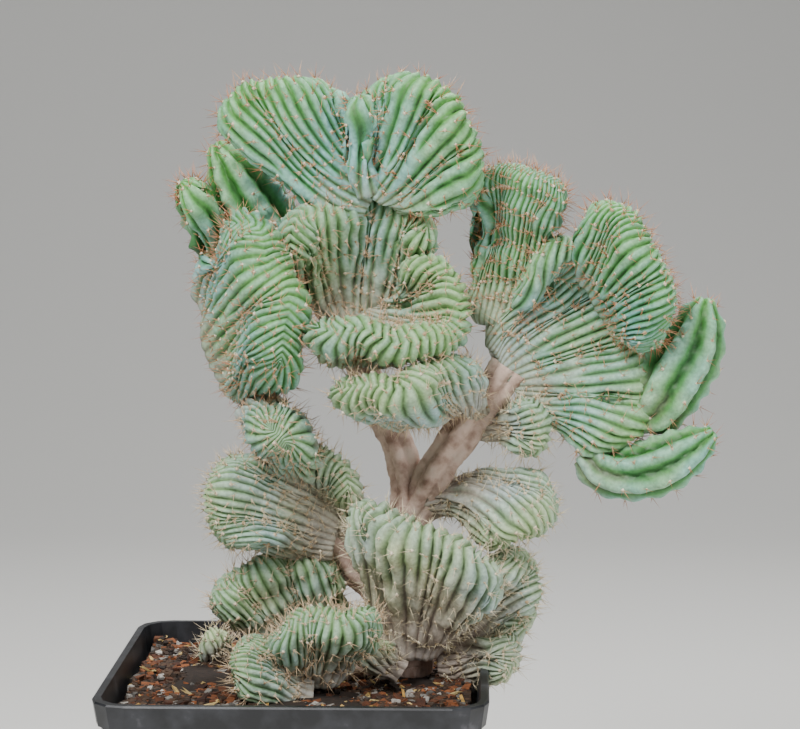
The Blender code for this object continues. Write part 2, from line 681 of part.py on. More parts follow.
def soil_height(x, y):
    """The height of the potting mix, a little heaped and uneven."""
    swell = sin(x * 0.09 + 1.3) * cos(y * 0.11) + 0.6 * sin(x * 0.27 + y * 0.19)
    return SOIL_TOP + SOIL_ROUGH * swell


def make_soil(parts, spare, draw):
    """The potting mix that fills the pot, uneven on top, with chips of bark and stone in it."""
    low = FLOOR_THICK + SOIL_GAP
    inset = POT_WALL + SOIL_GAP
    corner = POT_CORNER - inset
    levels = [(pot_half(z) - inset, corner, z) for z in (low, SOIL_TOP - SOIL_SIDE_DROP)]
    mesh = square_loft("soil", levels)
    work = bmesh.new()
    work.from_mesh(mesh)
    top = max(work.faces, key=lambda face: face.calc_center_median().z)
    ring = [vertex.co.copy() for vertex in top.verts]
    rim = list(top.verts)
    bmesh.ops.delete(work, geom=[top], context="FACES_ONLY")
    for step in range(1, SOIL_CELLS // 2):
        share = 1 - step / (SOIL_CELLS / 2)
        inner = []
        for co in ring:
            x, y = co.x * share / MM, co.y * share / MM
            inner.append(work.verts.new(Vector((x, y, soil_height(x, y))) * MM))
        for k in range(len(rim)):
            n = (k + 1) % len(rim)
            work.faces.new((rim[k], rim[n], inner[n], inner[k]))
        rim = inner
    centre = work.verts.new(Vector((0, 0, soil_height(0, 0))) * MM)
    for k in range(len(rim)):
        work.faces.new((rim[k], rim[(k + 1) % len(rim)], centre))
    bmesh.ops.recalc_face_normals(work, faces=work.faces)
    bmesh.ops.triangulate(work, faces=work.faces)
    work.to_mesh(mesh)
    work.free()
    soil = add_object("soil", mesh, parts, material("potting_mix", (0.11, 0.075, 0.05), 0.95))
    chips = []
    for _ in range(CHIPS):
        x, y = draw.uniform(-CHIP_EDGE, CHIP_EDGE, 2)
        size = draw.uniform(*CHIP_SIZE) * np.array([1, draw.uniform(0.4, 0.9), draw.uniform(0.3, 0.6)])
        turn = Matrix.Rotation(draw.uniform(0, pi), 4, "Z")
        turn = turn @ Matrix.Rotation(draw.uniform(-CHIP_TILT, CHIP_TILT), 4, "X")
        place = Matrix.Translation(Vector((x, y, soil_height(x, y))) * MM)
        chip = bpy.data.meshes.new("chip")
        work = bmesh.new()
        bmesh.ops.create_cube(work, size=CHIP_CUBE * MM, matrix=Matrix.Diagonal((*size, 1)))
        bmesh.ops.transform(work, matrix=place @ turn, verts=work.verts)
        work.to_mesh(chip)
        work.free()
        chips.append(bpy.data.objects.new("chip", chip))
    boolean(soil, chips, "UNION", spare)
    return soil


def branch_mesh(points, start, end, grow):
    """A tapered, slightly angular branch along the points."""
    line, _ = even_curve(points, len(points))
    swells = 1 + TRUNK_WOBBLE * np.cos(np.arange(len(line)) * 2.3)
    radii = np.linspace(start, end, len(line)) * swells
    shoot = Shoot("branch", [tuple(p) for p in line], list(radii), TRUNK_SIDES, 0)
    rings = shoot_rings(shoot, 2 * TRUNK_SIDES, len(line) - 1)
    return skin_mesh("trunk", ribbed(rings, TRUNK_SIDES, TRUNK_RIDGE, grow))


def make_trunk(name, collection, spare, grow=0.0, finish=None):
    """The trunk with its forks joined in one solid."""
    first, *others = [branch_mesh(*branch, grow) for branch in TRUNK]
    trunk = add_object(name, first, collection, finish)
    boolean(trunk, [bpy.data.objects.new("fork", mesh) for mesh in others], "UNION", spare, "MANIFOLD")
    clean_up(trunk.data)
    return trunk


def block(size, place):
    """A plain block that cuts room for something."""
    mesh = bpy.data.meshes.new("block")
    work = bmesh.new()
    stretch = Matrix.Diagonal((*(Vector(size) * MM), 1))
    bmesh.ops.create_cube(work, size=1, matrix=Matrix.Translation(Vector(place) * MM) @ stretch)
    work.to_mesh(mesh)
    work.free()
    return bpy.data.objects.new("block", mesh)


def box_of(mesh):
    """The lowest and highest corner of a mesh."""
    points = np.array([vertex.co for vertex in mesh.vertices])
    return points.min(0), points.max(0)


def boxes_meet(first, second):
    """Whether two boxes share any room."""
    return bool((first[0] <= second[1]).all() and (second[0] <= first[1]).all())


# The pot and the potting mix are cut and joined with EXACT. With EXACT everywhere the build stopped for
# want of a surface to measure a spine's foot from, likely a stem left empty because ribbed skins cross
# themselves a little where they crowd together. So the stems and the trunk take MANIFOLD.
def cut_free(solid, earlier, made, gap, spare):
    """Cuts a stem back from the trunk, the potting mix, the rim and the earlier stems, by a gap."""
    room = box_of(solid.data)
    wide = make_trunk("cutter", bpy.context.scene.collection, spare, gap)
    bpy.context.scene.collection.objects.unlink(wide)
    cutters = [wide, bpy.data.objects.new("cutter", made["trunk"].data.copy())]
    if room[0][2] < (SOIL_TOP + 3 * SOIL_ROUGH) * MM:
        for lift in (gap, 0):
            raised = bpy.data.objects.new("cutter", made["soil"].data.copy())
            raised.data.transform(Matrix.Translation((0, 0, lift * MM)))
            cutters.append(raised)
    if room[0][2] < POT_HEIGHT * MM:
        cutters.append(block((20, 200, 120), (POT_TOP_HALF + 5, 0, POT_HEIGHT + gap - 60)))
    for other in earlier:
        grown = skin_mesh("cutter", flesh_rings(other, gap))
        if boxes_meet(room, box_of(grown)):
            cutters.append(bpy.data.objects.new("cutter", grown))
            cutters.append(bpy.data.objects.new("cutter", made[other.name].data.copy()))
    for cutter in cutters:
        boolean(solid, [cutter], "DIFFERENCE", spare, "MANIFOLD")
        keep_largest(solid.data)


def spine_object(foot, way, length, sunk):
    """A three-sided needle, its root sunk in the flesh."""
    mesh = bpy.data.meshes.new("spine")
    work = bmesh.new()
    turn = Vector(way).to_track_quat("Z", "Y").to_matrix().to_4x4()
    middle = Vector(foot + way * (length / 2 - sunk))
    bmesh.ops.create_cone(
        work, cap_ends=True, segments=3, radius1=SPINE_RADIUS * MM, radius2=0,
        depth=length * MM, matrix=Matrix.Translation(middle * MM) @ turn)
    work.to_mesh(mesh)
    work.free()
    return bpy.data.objects.new("spine", mesh)


def spine_places(stem, draw):
    """Where the spines stand on a stem: on the peaks along its rim, and some lower on its flanks."""
    rings = flesh_rings(stem)
    normal = normals_of(rings)
    grows = unit(np.gradient(rings, axis=0))
    last = len(rings) - 1
    rows = (last - 1, last - 3)
    places = []
    for row in rows:
        keep = 1.0 if row == last - 1 else SPINE_LOW_SHARE
        since = SPINE_SPACING
        for k in range(0, rings.shape[1], 2):
            since += np.linalg.norm(rings[row, k] - rings[row, k - 2])
            if since < SPINE_SPACING or draw.random() > keep:
                continue
            since = 0
            way = unit(normal[row, k] + SPINE_LEAN * grows[row, k] + draw.normal(0, SPINE_TURN, 3))
            places.append((rings[row, k], way, draw.uniform(*SPINE_LENGTH)))
    return places


def clear_spines(name, places, trees, taken):
    """The spines that stay clear of the other solids and of other stems' spines."""
    kept = []
    for foot, way, length in places:
        points = foot + way * np.append(np.arange(-1.0, length), length)[:, None]
        if any(p[2] < SOIL_TOP + SPINE_ABOVE_SOIL for p in points):
            continue
        if any(tree.find_nearest(Vector(p) * MM, SPINE_CLEAR * MM)[0] is not None
               for other, tree in trees.items() if other != name for p in points):
            continue
        if len(taken) and np.linalg.norm(taken[:, None] - points[None], axis=2).min() < SPINE_CLEAR:
            continue
        kept.append((foot, way, length, points))
    return kept


def main():
    """Builds the pot, the potting mix, the trunk and every stem, and then the spines."""
    for old in list(bpy.data.objects):
        bpy.data.objects.remove(old)
    scene = bpy.context.scene.collection
    parts = bpy.data.collections.new("blue_myrtle_cactus")
    spare = bpy.data.collections.new("cutters")
    scene.children.link(parts)
    draw = np.random.default_rng(SEED)

    pot = make_pot(parts, spare)
    soil = make_soil(parts, spare, draw)
    bark = material("woody_trunk", (0.32, 0.24, 0.19), 0.85)
    made = {"soil": soil, "trunk": make_trunk("trunk", parts, spare, 0.0, bark)}
    hole = make_trunk("hole", scene, spare, GAP)
    scene.objects.unlink(hole)
    boolean(soil, [hole], "DIFFERENCE", spare)
    keep_largest(soil.data)

    for stem in STEMS:
        colour = [young + (old - young) * stem.age for young, old in zip(FLESH_YOUNG, FLESH_OLD)]
        solid = add_object(stem.name, skin_mesh(stem.name, flesh_rings(stem)), parts)
        uncut = solid.data
        for attempt in range(TRIES):
            solid.data = uncut
            cut_free(solid, STEMS[:STEMS.index(stem)], made, GAP + attempt * NUDGE, spare)
            if clean_up(solid.data):
                break
        solid.data.materials.clear()
        solid.data.materials.append(material(stem.name + "_skin", colour, 0.6))
        made[stem.name] = solid

    trees = {}
    for name, solid in {**made, "pot": pot}.items():
        mesh = solid.data
        trees[name] = BVHTree.FromPolygons([v.co for v in mesh.vertices], [p.vertices for p in mesh.polygons])
    taken = np.zeros((0, 3))
    for stem in STEMS:
        kept = clear_spines(stem.name, spine_places(stem, draw), trees, taken)
        skin = trees[stem.name]
        kept = [k for k in kept if skin.find_nearest(Vector(k[0]) * MM)[3] < SPINE_FOOT_OFF * MM]
        if not kept:
            continue
        solid = made[stem.name]
        bare = solid.data
        for attempt in range(TRIES):
            solid.data = bare
            sunk = SPINE_SUNK + attempt * NUDGE
            standing = [k for place, k in enumerate(kept) if attempt == 0 or (place + attempt) % LEFT_OUT_EVERY]
            boolean(solid, [spine_object(*k[:3], sunk) for k in standing], "UNION", spare, "MANIFOLD")
            keep_largest(solid.data)
            if clean_up(solid.data):
                break
        taken = np.concatenate([taken, *[k[3] for k in kept]])
    bpy.data.collections.remove(spare)


main()
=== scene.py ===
"""The looks of a crested blue myrtle cactus in a square nursery pot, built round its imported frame.

Every stem is grown again with its full count of ribs, and is given wool, spines and a waxy skin.
Lengths are in millimetres unless a name says otherwise, in the frame's own axes: the origin is the
middle of the pot's underside, with X to the right, Y to the back and Z up.
"""

from __future__ import annotations

import logging
from dataclasses import dataclass, field
from enum import Enum
from math import cos, pi, radians, sin
from typing import Any

import bpy
import numpy as np
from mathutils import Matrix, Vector

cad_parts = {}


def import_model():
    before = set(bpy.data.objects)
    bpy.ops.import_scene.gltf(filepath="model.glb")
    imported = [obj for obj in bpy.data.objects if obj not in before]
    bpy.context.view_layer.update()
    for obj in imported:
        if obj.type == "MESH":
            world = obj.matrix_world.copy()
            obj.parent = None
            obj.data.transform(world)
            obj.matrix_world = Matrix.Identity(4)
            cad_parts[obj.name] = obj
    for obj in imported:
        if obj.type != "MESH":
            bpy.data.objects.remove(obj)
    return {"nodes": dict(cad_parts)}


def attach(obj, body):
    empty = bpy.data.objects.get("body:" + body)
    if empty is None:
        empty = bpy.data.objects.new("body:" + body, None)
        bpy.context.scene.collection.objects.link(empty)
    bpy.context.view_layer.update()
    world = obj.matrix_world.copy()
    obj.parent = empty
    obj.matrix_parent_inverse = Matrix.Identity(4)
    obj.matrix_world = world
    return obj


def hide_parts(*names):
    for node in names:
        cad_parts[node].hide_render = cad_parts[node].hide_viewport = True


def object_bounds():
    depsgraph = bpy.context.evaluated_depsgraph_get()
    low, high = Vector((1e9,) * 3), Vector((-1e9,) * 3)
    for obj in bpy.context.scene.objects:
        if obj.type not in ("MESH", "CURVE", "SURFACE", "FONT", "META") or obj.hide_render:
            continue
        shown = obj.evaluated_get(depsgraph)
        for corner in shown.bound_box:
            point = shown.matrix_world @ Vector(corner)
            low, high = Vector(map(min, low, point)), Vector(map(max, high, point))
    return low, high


LOG = logging.getLogger("cactus")
MM = 0.001
SEED = 11

# How finely a stem's skin is drawn
COLUMNS_PER_RIB = 6
CREST_ROWS = 26
CAP_ROWS = 4
SHOOT_ROWS = 44
SHOOT_COLUMNS_PER_RIB = 16
LAST_CAP = 0.985
CURVE_POINTS = 161
PATH_SAMPLES = 41
SPLINE_SAMPLES = 801

# How a crest's sheet and its skin are laid
LEAVE_REACH = 0.4
ARRIVE_REACH = 0.35
LEVEL_SHARE = 0.97
THICKENS_BY = 1.3
WIDEST_THICK = 0.999
END_LONGEST = 0.6
UV_STEP = 0.01

# Ribs and what stands on them
RIB_HEIGHT = 2.3
RIB_SHARE = 0.52
RIB_ROUND = 0.8
RIB_UNEVEN = (0.75, 1.2)
SINGLE_RIB_RISE = 1.2
SINGLE_RIB_SHARE = 0.85
SHOOT_RIB_SHARP = 1.4
SHOOT_RIB_SHARE = 0.3
FLESH_SUNK = 0.2
CALM_RIM = 3.0
FORK_SPAN = 0.22
FORK_FROM, FORK_TO = 0.25, 0.6
KNOB_SPACING = 7.0
KNOB_SHARE = 0.42
RIM_KNOB_SHARE = 0.7
RIM_KNOB_REACH = 18.0
NECK_RIB_SHARE = 0.35
NECK_FADE = 0.4
LUMP_HEIGHT = 0.7
LUMP_SPACING = 17.0
LUMP_SIZES = (1.0, 0.6, 0.45)
WAVE = 1.3
WAVE_LENGTH = 24.0
FIRST_TUFT = 0.6
TUFT_STAGGER = 1.2
RIM_ZONE = 4.0
RIM_TUFT_SPACING = 4.5
LOWEST_TUFT_SHARE = 0.9
UNFORKED_RIDGE = 0.55
TUFT_LEAN = 0.35
WOOL_RADIUS = 0.75
WOOL_UNEVEN = 0.25
WOOL_SUNK = 0.1
WOOL_RISE = 0.75
WOOL_DROP = 0.6
SPINE_LENGTH = (3.0, 7.5)
SPINE_RADIUS = 0.17
SPINE_SUNK = 0.6
SPINE_SPREAD = (0.2, 1.5)
WIDE_SPREAD = 0.9
WIDE_SPINE_SHARE = 0.7
SPINE_TIP_TONE = -0.4
SPINES_AT_RIM = 4
SPINES_BELOW = 3

# How the reference photograph was taken, solved from the pot's rim: the eye's place, its turns in degrees,
# and its focal length and middle in pixels. Stems' points are on the photograph, each as pixel across,
# pixel down, and depth along Y in millimetres. They were listed one by one, but for some of
# crest_right_upper's rim, which were moved afterwards.
EYE = (60.325, -819.957, 314.147)
EYE_TURN = -1.8205
EYE_DOWN = 6.274
EYE_ROLL = 0.0257
EYE_FOCUS = 2406.2
PHOTO_MIDDLE = (400.0, 364.5)
PHOTO_WIDTH = 800.0
SENSOR_WIDTH = 36.0
FOCAL_LENGTH = SENSOR_WIDTH * EYE_FOCUS / PHOTO_WIDTH

# The point that the lights face, in metres
LIT_POINT = (0.03, 0.0, 0.2)

# How far inside the part's own box every stem's looks stay
BOX_INSET = 0.2


class Slot(Enum):
    """Names of five material slots, from the potting mix to the old flesh."""

    MIX = "potting_mix"
    CORK = "cork_bark"
    YOUNG = "young_flesh"
    GREY = "grey_flesh"
    OLD = "old_flesh"


@dataclass
class Crest:
    """A fan: ribs leave the root, or the line back, along leaves, and reach rim bent by curls."""

    name: str
    root: tuple
    rim: list
    neck: float
    thick: float
    ribs: int
    back: list = field(default_factory=list)
    leaves: list = field(default_factory=list)
    curls: list = field(default_factory=list)
    age: float = 0.5


@dataclass
class Shoot:
    """A plain ribbed stem along path, as thick as radii say at even steps, with a pointed tip."""

    name: str
    path: list
    radii: list
    ribs: int
    rib_height: float
    age: float = 0.1
    seen: bool = False

    def places(self) -> Any:
        """The path in millimetres, also where its points were picked on the photograph."""
        return sighted(self.path) if self.seen else self.path


STEMS: list[Crest | Shoot] = [
    Crest("crest_top_right",
          root=(380, 200, 2), neck=8, thick=5.7, ribs=44, age=0.12,
          leaves=[(0, 0, 1), (0.6, -0.1, 0.8), (1, 0, -0.1)],
          rim=[
              (360, 104, 4), (378, 84, 0), (402, 74, -4), (430, 78, -8), (455, 98, -11),
              (472, 130, -12), (481, 160, -10), (480, 188, -5), (466, 208, 0)]),
    Crest("crest_top_left",
          root=(370, 200, 4), neck=8, thick=5.3, ribs=38, age=0.12,
          leaves=[(-1, -0.1, -0.05), (-0.9, -0.1, 0.4), (-0.2, 0, 1)],
          rim=[
              (218, 132, -4), (222, 105, -8), (243, 85, -9), (272, 78, -7), (304, 80, -3),
              (328, 86, 1), (338, 104, 5)]),
    Crest("crest_top_middle",
          root=(368, 196, -1), neck=5, thick=4.2, ribs=14, age=0.15,
          leaves=[(-0.3, -0.2, 1)],
          rim=[
              (344, 108, -6), (354, 96, -7), (370, 96, -5), (378, 108, -2)]),
    Crest("crest_upper_middle",
          root=(352, 322, 16), neck=9, thick=6.1, ribs=44, age=0.45,
          leaves=[(-0.9, -0.3, 0.5), (-0.2, 0, 1), (0.2, 0, 1), (0.7, 0, 0.6)],
          curls=[(0.3, -0.8, -0.2), (0, -0.5, 0), (0, 0, 0), (0, 0, 0), (0.1, -0.2, 0)],
          rim=[
              (296, 268, -12), (287, 243, -14), (297, 220, -12), (318, 206, -6), (345, 200, 0),
              (375, 196, 6), (405, 204, 6), (422, 222, 2), (423, 244, -4)]),
    Crest("crest_middle_right",
          root=(354, 326, 12), neck=9, thick=5.3, ribs=60, age=0.45,
          leaves=[(0.6, 0, 0.6), (1, -0.2, 0.1), (0.6, -0.7, -0.5), (-0.1, -0.9, -0.6)],
          curls=[(0, 0, 0), (0, -0.2, 0), (0, -0.6, 0.4), (0, -0.6, 0.9), (0, -0.6, 0.9)],
          rim=[
              (400, 262, 2), (424, 256, -2), (446, 268, -5), (460, 292, -8), (463, 318, -12),
              (452, 336, -20), (428, 342, -27), (395, 338, -31), (360, 330, -32), (330, 328, -30),
              (306, 320, -24)]),
    Crest("crest_middle_low",
          root=(472, 402, 8), neck=8, thick=5.7, ribs=50, age=0.6,
          leaves=[(-0.8, -0.4, -0.5), (-0.7, -0.5, -0.2), (-0.2, -0.5, 0.6)],
          curls=[(0, -0.5, 0.9)],
          rim=[
              (328, 380, -22), (345, 385, -28), (372, 388, -33), (398, 385, -34), (416, 371, -30),
              (436, 361, -22), (458, 357, -12), (474, 360, -2)]),
    Crest("crest_right",
          root=(505, 374, 10), neck=11, thick=6, ribs=76, age=0.3,
          leaves=[(0, 0, 1), (0.4, 0.2, 0.9), (0.8, 0, 0.5), (1, 0, 0), (0.7, 0, -0.8)],
          rim=[
              (526, 262, 0), (542, 245, -2), (566, 240, 0), (588, 248, 8), (612, 262, 12),
              (632, 290, 14), (646, 320, 12), (656, 350, 8), (664, 380, 4), (662, 408, 2),
              (648, 430, -2), (622, 446, -2), (592, 462, 2)]),
    Crest("crest_right_upper",
          root=(496, 326, 14), neck=9, thick=5.8, ribs=52, age=0.15,
          leaves=[(-0.3, 0, 1), (0.2, 0, 1), (0.6, 0, 0.9)],
          curls=[(0, 0, 0), (0, -0.2, 0), (0, -0.4, 0), (0.3, -0.5, 0)],
          rim=[
              (478, 184, 9), (486, 172, 7), (500, 166, 4), (520, 170, 0), (540, 176, -4), (560, 186, -8),
              (573, 200, -7)]),
    Crest("crest_right_roll",
          root=(600, 290, 0), neck=6, thick=7.2, ribs=60, age=0.1,
          back=[(584, 262, 2), (594, 284, 2), (610, 308, 2), (628, 336, 2)],
          leaves=[(-0.2, -0.6, 0.8), (0.6, -0.8, 0.4), (0.7, -0.8, 0), (0.5, -0.7, -0.5)],
          curls=[(0, 0, 0.2), (0.5, 0.2, 0.3), (0.6, 0.3, 0), (0.4, 0.2, -0.3)],
          rim=[
              (584, 222, -8), (592, 205, -12), (608, 203, -15), (626, 209, -18), (644, 224, -20),
              (658, 250, -22), (669, 280, -22), (676, 306, -20), (667, 332, -16), (652, 356, -10)]),
    Crest("crest_right_inner",
          root=(480, 424, 10), neck=6, thick=4.6, ribs=26, age=0.7,
          leaves=[(1, -0.2, 0)],
          rim=[
              (512, 400, -2), (536, 404, -8), (546, 424, -10), (540, 446, -10), (520, 458, -6)]),
    Crest("crest_right_low",
          root=(424, 508, 14), neck=7, thick=5.7, ribs=38, age=0.75,
          leaves=[(0.8, -0.1, 0.5), (0.9, -0.2, 0.5)],
          curls=[(0.1, -0.5, -0.9), (0.2, -0.5, -0.9), (0.4, -0.2, -0.4)],
          rim=[
              (476, 536, -10), (500, 541, -14), (522, 536, -16), (543, 530, -14), (556, 512, -9),
              (555, 492, -2), (540, 476, 6)]),
    Crest("crest_front",
          root=(414, 652, 2), neck=9, thick=6.5, ribs=40, age=0.8,
          leaves=[(-0.5, -0.2, 0.9), (0, -0.3, 1), (0.6, -0.3, 0.7)],
          curls=[(0, -0.2, 0.6)],
          rim=[
              (346, 540, -14), (350, 512, -18), (366, 504, -20), (386, 514, -24), (408, 524, -28),
              (432, 533, -30), (455, 542, -30), (478, 553, -28), (496, 568, -24), (504, 590, -18)]),
    Crest("crest_front_right",
          root=(446, 640, 6), neck=7, thick=6.1, ribs=34, age=0.85,
          leaves=[(0.9, 0, 0.4)],
          curls=[(0.6, 0, 0)],
          rim=[
              (492, 558, -6), (514, 553, -4), (534, 562, 0), (542, 580, 2), (541, 600, 2),
              (528, 616, 0), (508, 624, -4)]),
    Crest("crest_low_right",
          root=(440, 662, 4), neck=6, thick=5.7, ribs=26, age=0.9,
          leaves=[(1, -0.2, 0.1)],
          curls=[(0.5, -0.5, 0)],
          rim=[
              (488, 636, -4), (508, 636, -8), (517, 650, -10), (508, 666, -12), (488, 672, -12)]),
    Crest("column_left",
          root=(240, 330, 6), neck=8, thick=9.9, ribs=56, age=0.2,
          back=[(228, 280, 12), (216, 300, 12), (225, 350, 14), (245, 400, 12)],
          leaves=[(0.1, -0.2, 1), (0.3, -0.6, 0.5), (0.5, -0.8, 0), (0.3, -0.9, 0)],
          curls=[(0, -0.6, 0.5), (0.3, -0.9, 0), (0.3, -0.9, 0)],
          rim=[
              (212, 236, -8), (232, 222, -14), (252, 226, -20), (268, 248, -25), (279, 276, -28),
              (286, 304, -30), (286, 332, -30), (278, 358, -28), (268, 384, -24)]),
    Crest("column_left_low",
          root=(300, 480, 10), neck=8, thick=9.1, ribs=26, age=0.5,
          back=[(240, 402, 10), (268, 420, 14), (290, 450, 14), (312, 480, 12)],
          leaves=[(0.2, -0.9, 0)],
          curls=[(0.2, -0.9, 0)],
          rim=[
              (262, 404, -22), (272, 424, -25), (284, 444, -24), (288, 468, -20)]),
    Crest("crest_left",
          root=(334, 536, 12), neck=8, thick=6.1, ribs=44, age=0.65,
          leaves=[(-0.6, 0, 0.8), (-1, -0.1, 0.2), (-0.8, -0.2, -0.2)],
          curls=[(-0.4, -0.4, 0)],
          rim=[
              (246, 450, -2), (225, 458, -8), (209, 476, -12), (207, 498, -14), (212, 522, -14),
              (228, 542, -12), (252, 552, -8)]),
    Crest("crest_left_back",
          root=(330, 540, 16), neck=7, thick=5.3, ribs=24, age=0.75,
          leaves=[(-0.1, 0, 1), (0.2, 0, 1)],
          rim=[
              (300, 448, 8), (322, 444, 6), (338, 460, 4), (345, 486, 2), (345, 506, 2)]),
    Crest("crest_low_left_back",
          root=(312, 660, 16), neck=9, thick=6.1, ribs=48, age=0.6,
          leaves=[(-0.9, 0, 0.5), (-0.2, 0, 1), (0.5, 0, 0.9)],
          rim=[
              (214, 618, -6), (213, 596, -4), (233, 572, 0), (260, 556, 4), (292, 552, 8),
              (322, 556, 11), (346, 572, 14)]),
    Crest("crest_low_left_side",
          root=(312, 694, -20), neck=7, thick=5.7, ribs=34, age=0.6,
          leaves=[(-1, -0.1, 0.1)],
          curls=[(-0.5, -0.3, 0)],
          rim=[
              (236, 700, -36), (233, 680, -38), (234, 660, -37), (244, 644, -34), (262, 634, -31)]),
    Crest("crest_low_left_front",
          root=(316, 680, -16), neck=8, thick=6.1, ribs=40, age=0.55,
          leaves=[(-0.6, -0.2, 0.7), (0, -0.3, 1), (0.7, -0.2, 0.8)],
          curls=[(0, -0.3, 0.8)],
          rim=[
              (268, 634, -33), (290, 620, -36), (318, 613, -38), (346, 610, -38), (370, 613, -35),
              (386, 622, -30)]),
    Crest("crest_soil_front",
          root=(398, 674, -6), neck=5, thick=3.8, ribs=16, age=0.9,
          leaves=[(-0.8, -0.1, 0.6)],
          rim=[
              (352, 656, -14), (362, 646, -14), (380, 644, -12), (394, 650, -10)]),
    Crest("crest_soil_left",
          root=(216, 668, 24), neck=5, thick=4.6, ribs=20, age=0.8,
          leaves=[(0, 0, 1)],
          rim=[
              (196, 650, 22), (204, 634, 20), (220, 630, 20), (234, 640, 24)]),
    Crest("crest_far_left",
          root=(238, 296, 20), neck=7, thick=6.1, ribs=18, age=0.1,
          leaves=[(-0.6, 0, 0.9)],
          curls=[(-0.3, -0.2, 0.5)],
          rim=[
              (182, 205, 4), (181, 184, 2), (194, 176, 4), (210, 182, 8)]),
    Shoot("shoot_right_upper", seen=True,
          path=[(640, 420, 4), (655, 408, 2), (674, 378, 0), (691, 345, 0), (702, 312, -1), (705, 300, -1)],
          radii=[6, 8.5, 10, 10.8, 11, 10.8, 10, 8.6, 6.4, 2.4], ribs=6, rib_height=3.4),
    Shoot("shoot_right_lower", seen=True,
          path=[(586, 452, 4), (602, 468, 2), (628, 473, -1), (658, 466, -4), (688, 449, -6), (712, 431, -7)],
          radii=[5, 7, 8, 8.4, 8.8, 9, 8.6, 7.4, 5.4, 2.2], ribs=6, rib_height=3.2),
    Shoot("shoot_upper_left", path=[(-1, 23, 257), (-15, 20, 275), (-25, 15, 291), (-30, 13, 299)],
          radii=[5, 8, 9.5, 10.5, 11, 11, 10.4, 9, 6.5, 2.5], ribs=7, rib_height=3.2),
]

# The trunk and its forks: points along each, and the radius at its two ends
TRUNK: list[tuple[list, float, float]] = [
    ([(39, 13, 62), (38, 13, 116), (39, 14, 139), (38, 13, 160), (37, 12, 174)], 8.5, 6.5),
    ([(38, 13, 168), (48, 8, 188), (58, 8, 202), (68, 9, 216), (72, 9, 222)], 6.0, 6.2),
    ([(37, 13, 168), (35, 14, 189), (29, 16, 203), (21, 18, 220), (17, 18, 234)], 5.5, 5.0),
    ([(19, 18, 226), (8, 24, 242), (0, 24, 256)], 4.5, 4.5),
    ([(39, 14, 130), (27, 20, 141), (16, 18, 152), (11, 15, 163)], 6.5, 5.5),
    ([(12, 16, 158), (6, 18, 174), (-2, 19, 188), (-12, 20, 202), (-21, 18, 216)], 5.5, 5.0),
    ([(39, 12, 120), (18, 4, 119), (6, -8, 117)], 6.0, 5.0),
]


def linear(colour: str) -> tuple[float, float, float, float]:
    """Turns an sRGB hex colour to linear.

    Args:
        colour: The colour, such as "#6fae7c".

    Returns:
        Red, green, blue and 1, linear.
    """
    parts = [int(colour[k : k + 2], 16) / 255 for k in (1, 3, 5)]
    return (*[p / 12.92 if p <= 0.04045 else ((p + 0.055) / 1.055) ** 2.4 for p in parts], 1.0)


def between(first: str, second: str, share: float) -> str:
    """Mixes two hex colours.

    Args:
        first: The colour at share 0.
        second: The colour at share 1.
        share: How far to go from the first to the second.

    Returns:
        The mixed hex colour.
    """
    pairs = [(int(first[k : k + 2], 16), int(second[k : k + 2], 16)) for k in (1, 3, 5)]
    return "#" + "".join(f"{round(a + (b - a) * share):02x}" for a, b in pairs)


def add_node(tree: Any, kind: str, settings: dict | None = None, links: dict | None = None) -> Any:
    """Adds a node with its settings and its links.

    Args:
        tree: The node tree.
        kind: The node's type.
        settings: Values by property name, or by input name or number.
        links: The sockets to join to its inputs, by input name or number.

    Returns:
        The new node.
    """
    node = tree.nodes.new(kind)
    for key, value in (settings or {}).items():
        if isinstance(key, str) and hasattr(node, key):
            setattr(node, key, value)
        else:
            node.inputs[key].default_value = value
    for key, socket in (links or {}).items():
        tree.links.new(socket, node.inputs[key])
    return node


def add_ramp(tree: Any, factor: Any, stops: list[tuple[float, str]]) -> Any:
    """Adds a colour ramp, and returns its colour socket.

    Args:
        tree: The node tree.
        factor: The socket that drives it.
        stops: Places from 0 to 1 with their hex colours.

    Returns:
        The ramp's colour socket.
    """
    node = add_node(tree, "ShaderNodeValToRGB", links={0: factor})
    elements = node.color_ramp.elements
    while len(elements) < len(stops):
        elements.new(0.5)
    for element, (place, colour) in zip(elements, stops):
        element.position = place
        element.color = linear(colour)
    return node.outputs[0]


def noise(tree: Any, size: float, detail: float = 3.0) -> Any:
    """Noise in the object's own space, and returns its value socket.

    Args:
        tree: The node tree.
        size: The size of its patches, in millimetres.
        detail: How many finer layers it has.

    Returns:
        The noise's value socket.
    """
    place = add_node(tree, "ShaderNodeTexCoord").outputs["Object"]
    node = add_node(tree, "ShaderNodeTexNoise", {"Scale": 1 / (size * MM), "Detail": detail}, {0: place})
    return node.outputs[0]


def mix(tree: Any, factor: Any, first: Any, second: Any, blend: str = "MIX") -> Any:
    """Mixes two colours, each a socket or a hex colour.

    Args:
        tree: The node tree.
        factor: A socket or a number.
        first: The colour at factor 0.
        second: The colour at factor 1.
        blend: The way they are blended.

    Returns:
        The mixed colour's socket.
    """
    values = {0: factor, 6: first, 7: second}
    plain = {k: v for k, v in values.items() if isinstance(v, (str, float))}
    links = {k: v for k, v in values.items() if k not in plain}
    plain = {k: linear(v) if isinstance(v, str) else v for k, v in plain.items()}
    node = add_node(tree, "ShaderNodeMix", {"data_type": "RGBA", "blend_type": blend, **plain}, links)
    return node.outputs[2]


def attribute(tree: Any, name: str) -> Any:
    """The socket of a number that the mesh keeps for each point."""
    return add_node(tree, "ShaderNodeAttribute", {"attribute_name": name}).outputs["Fac"]


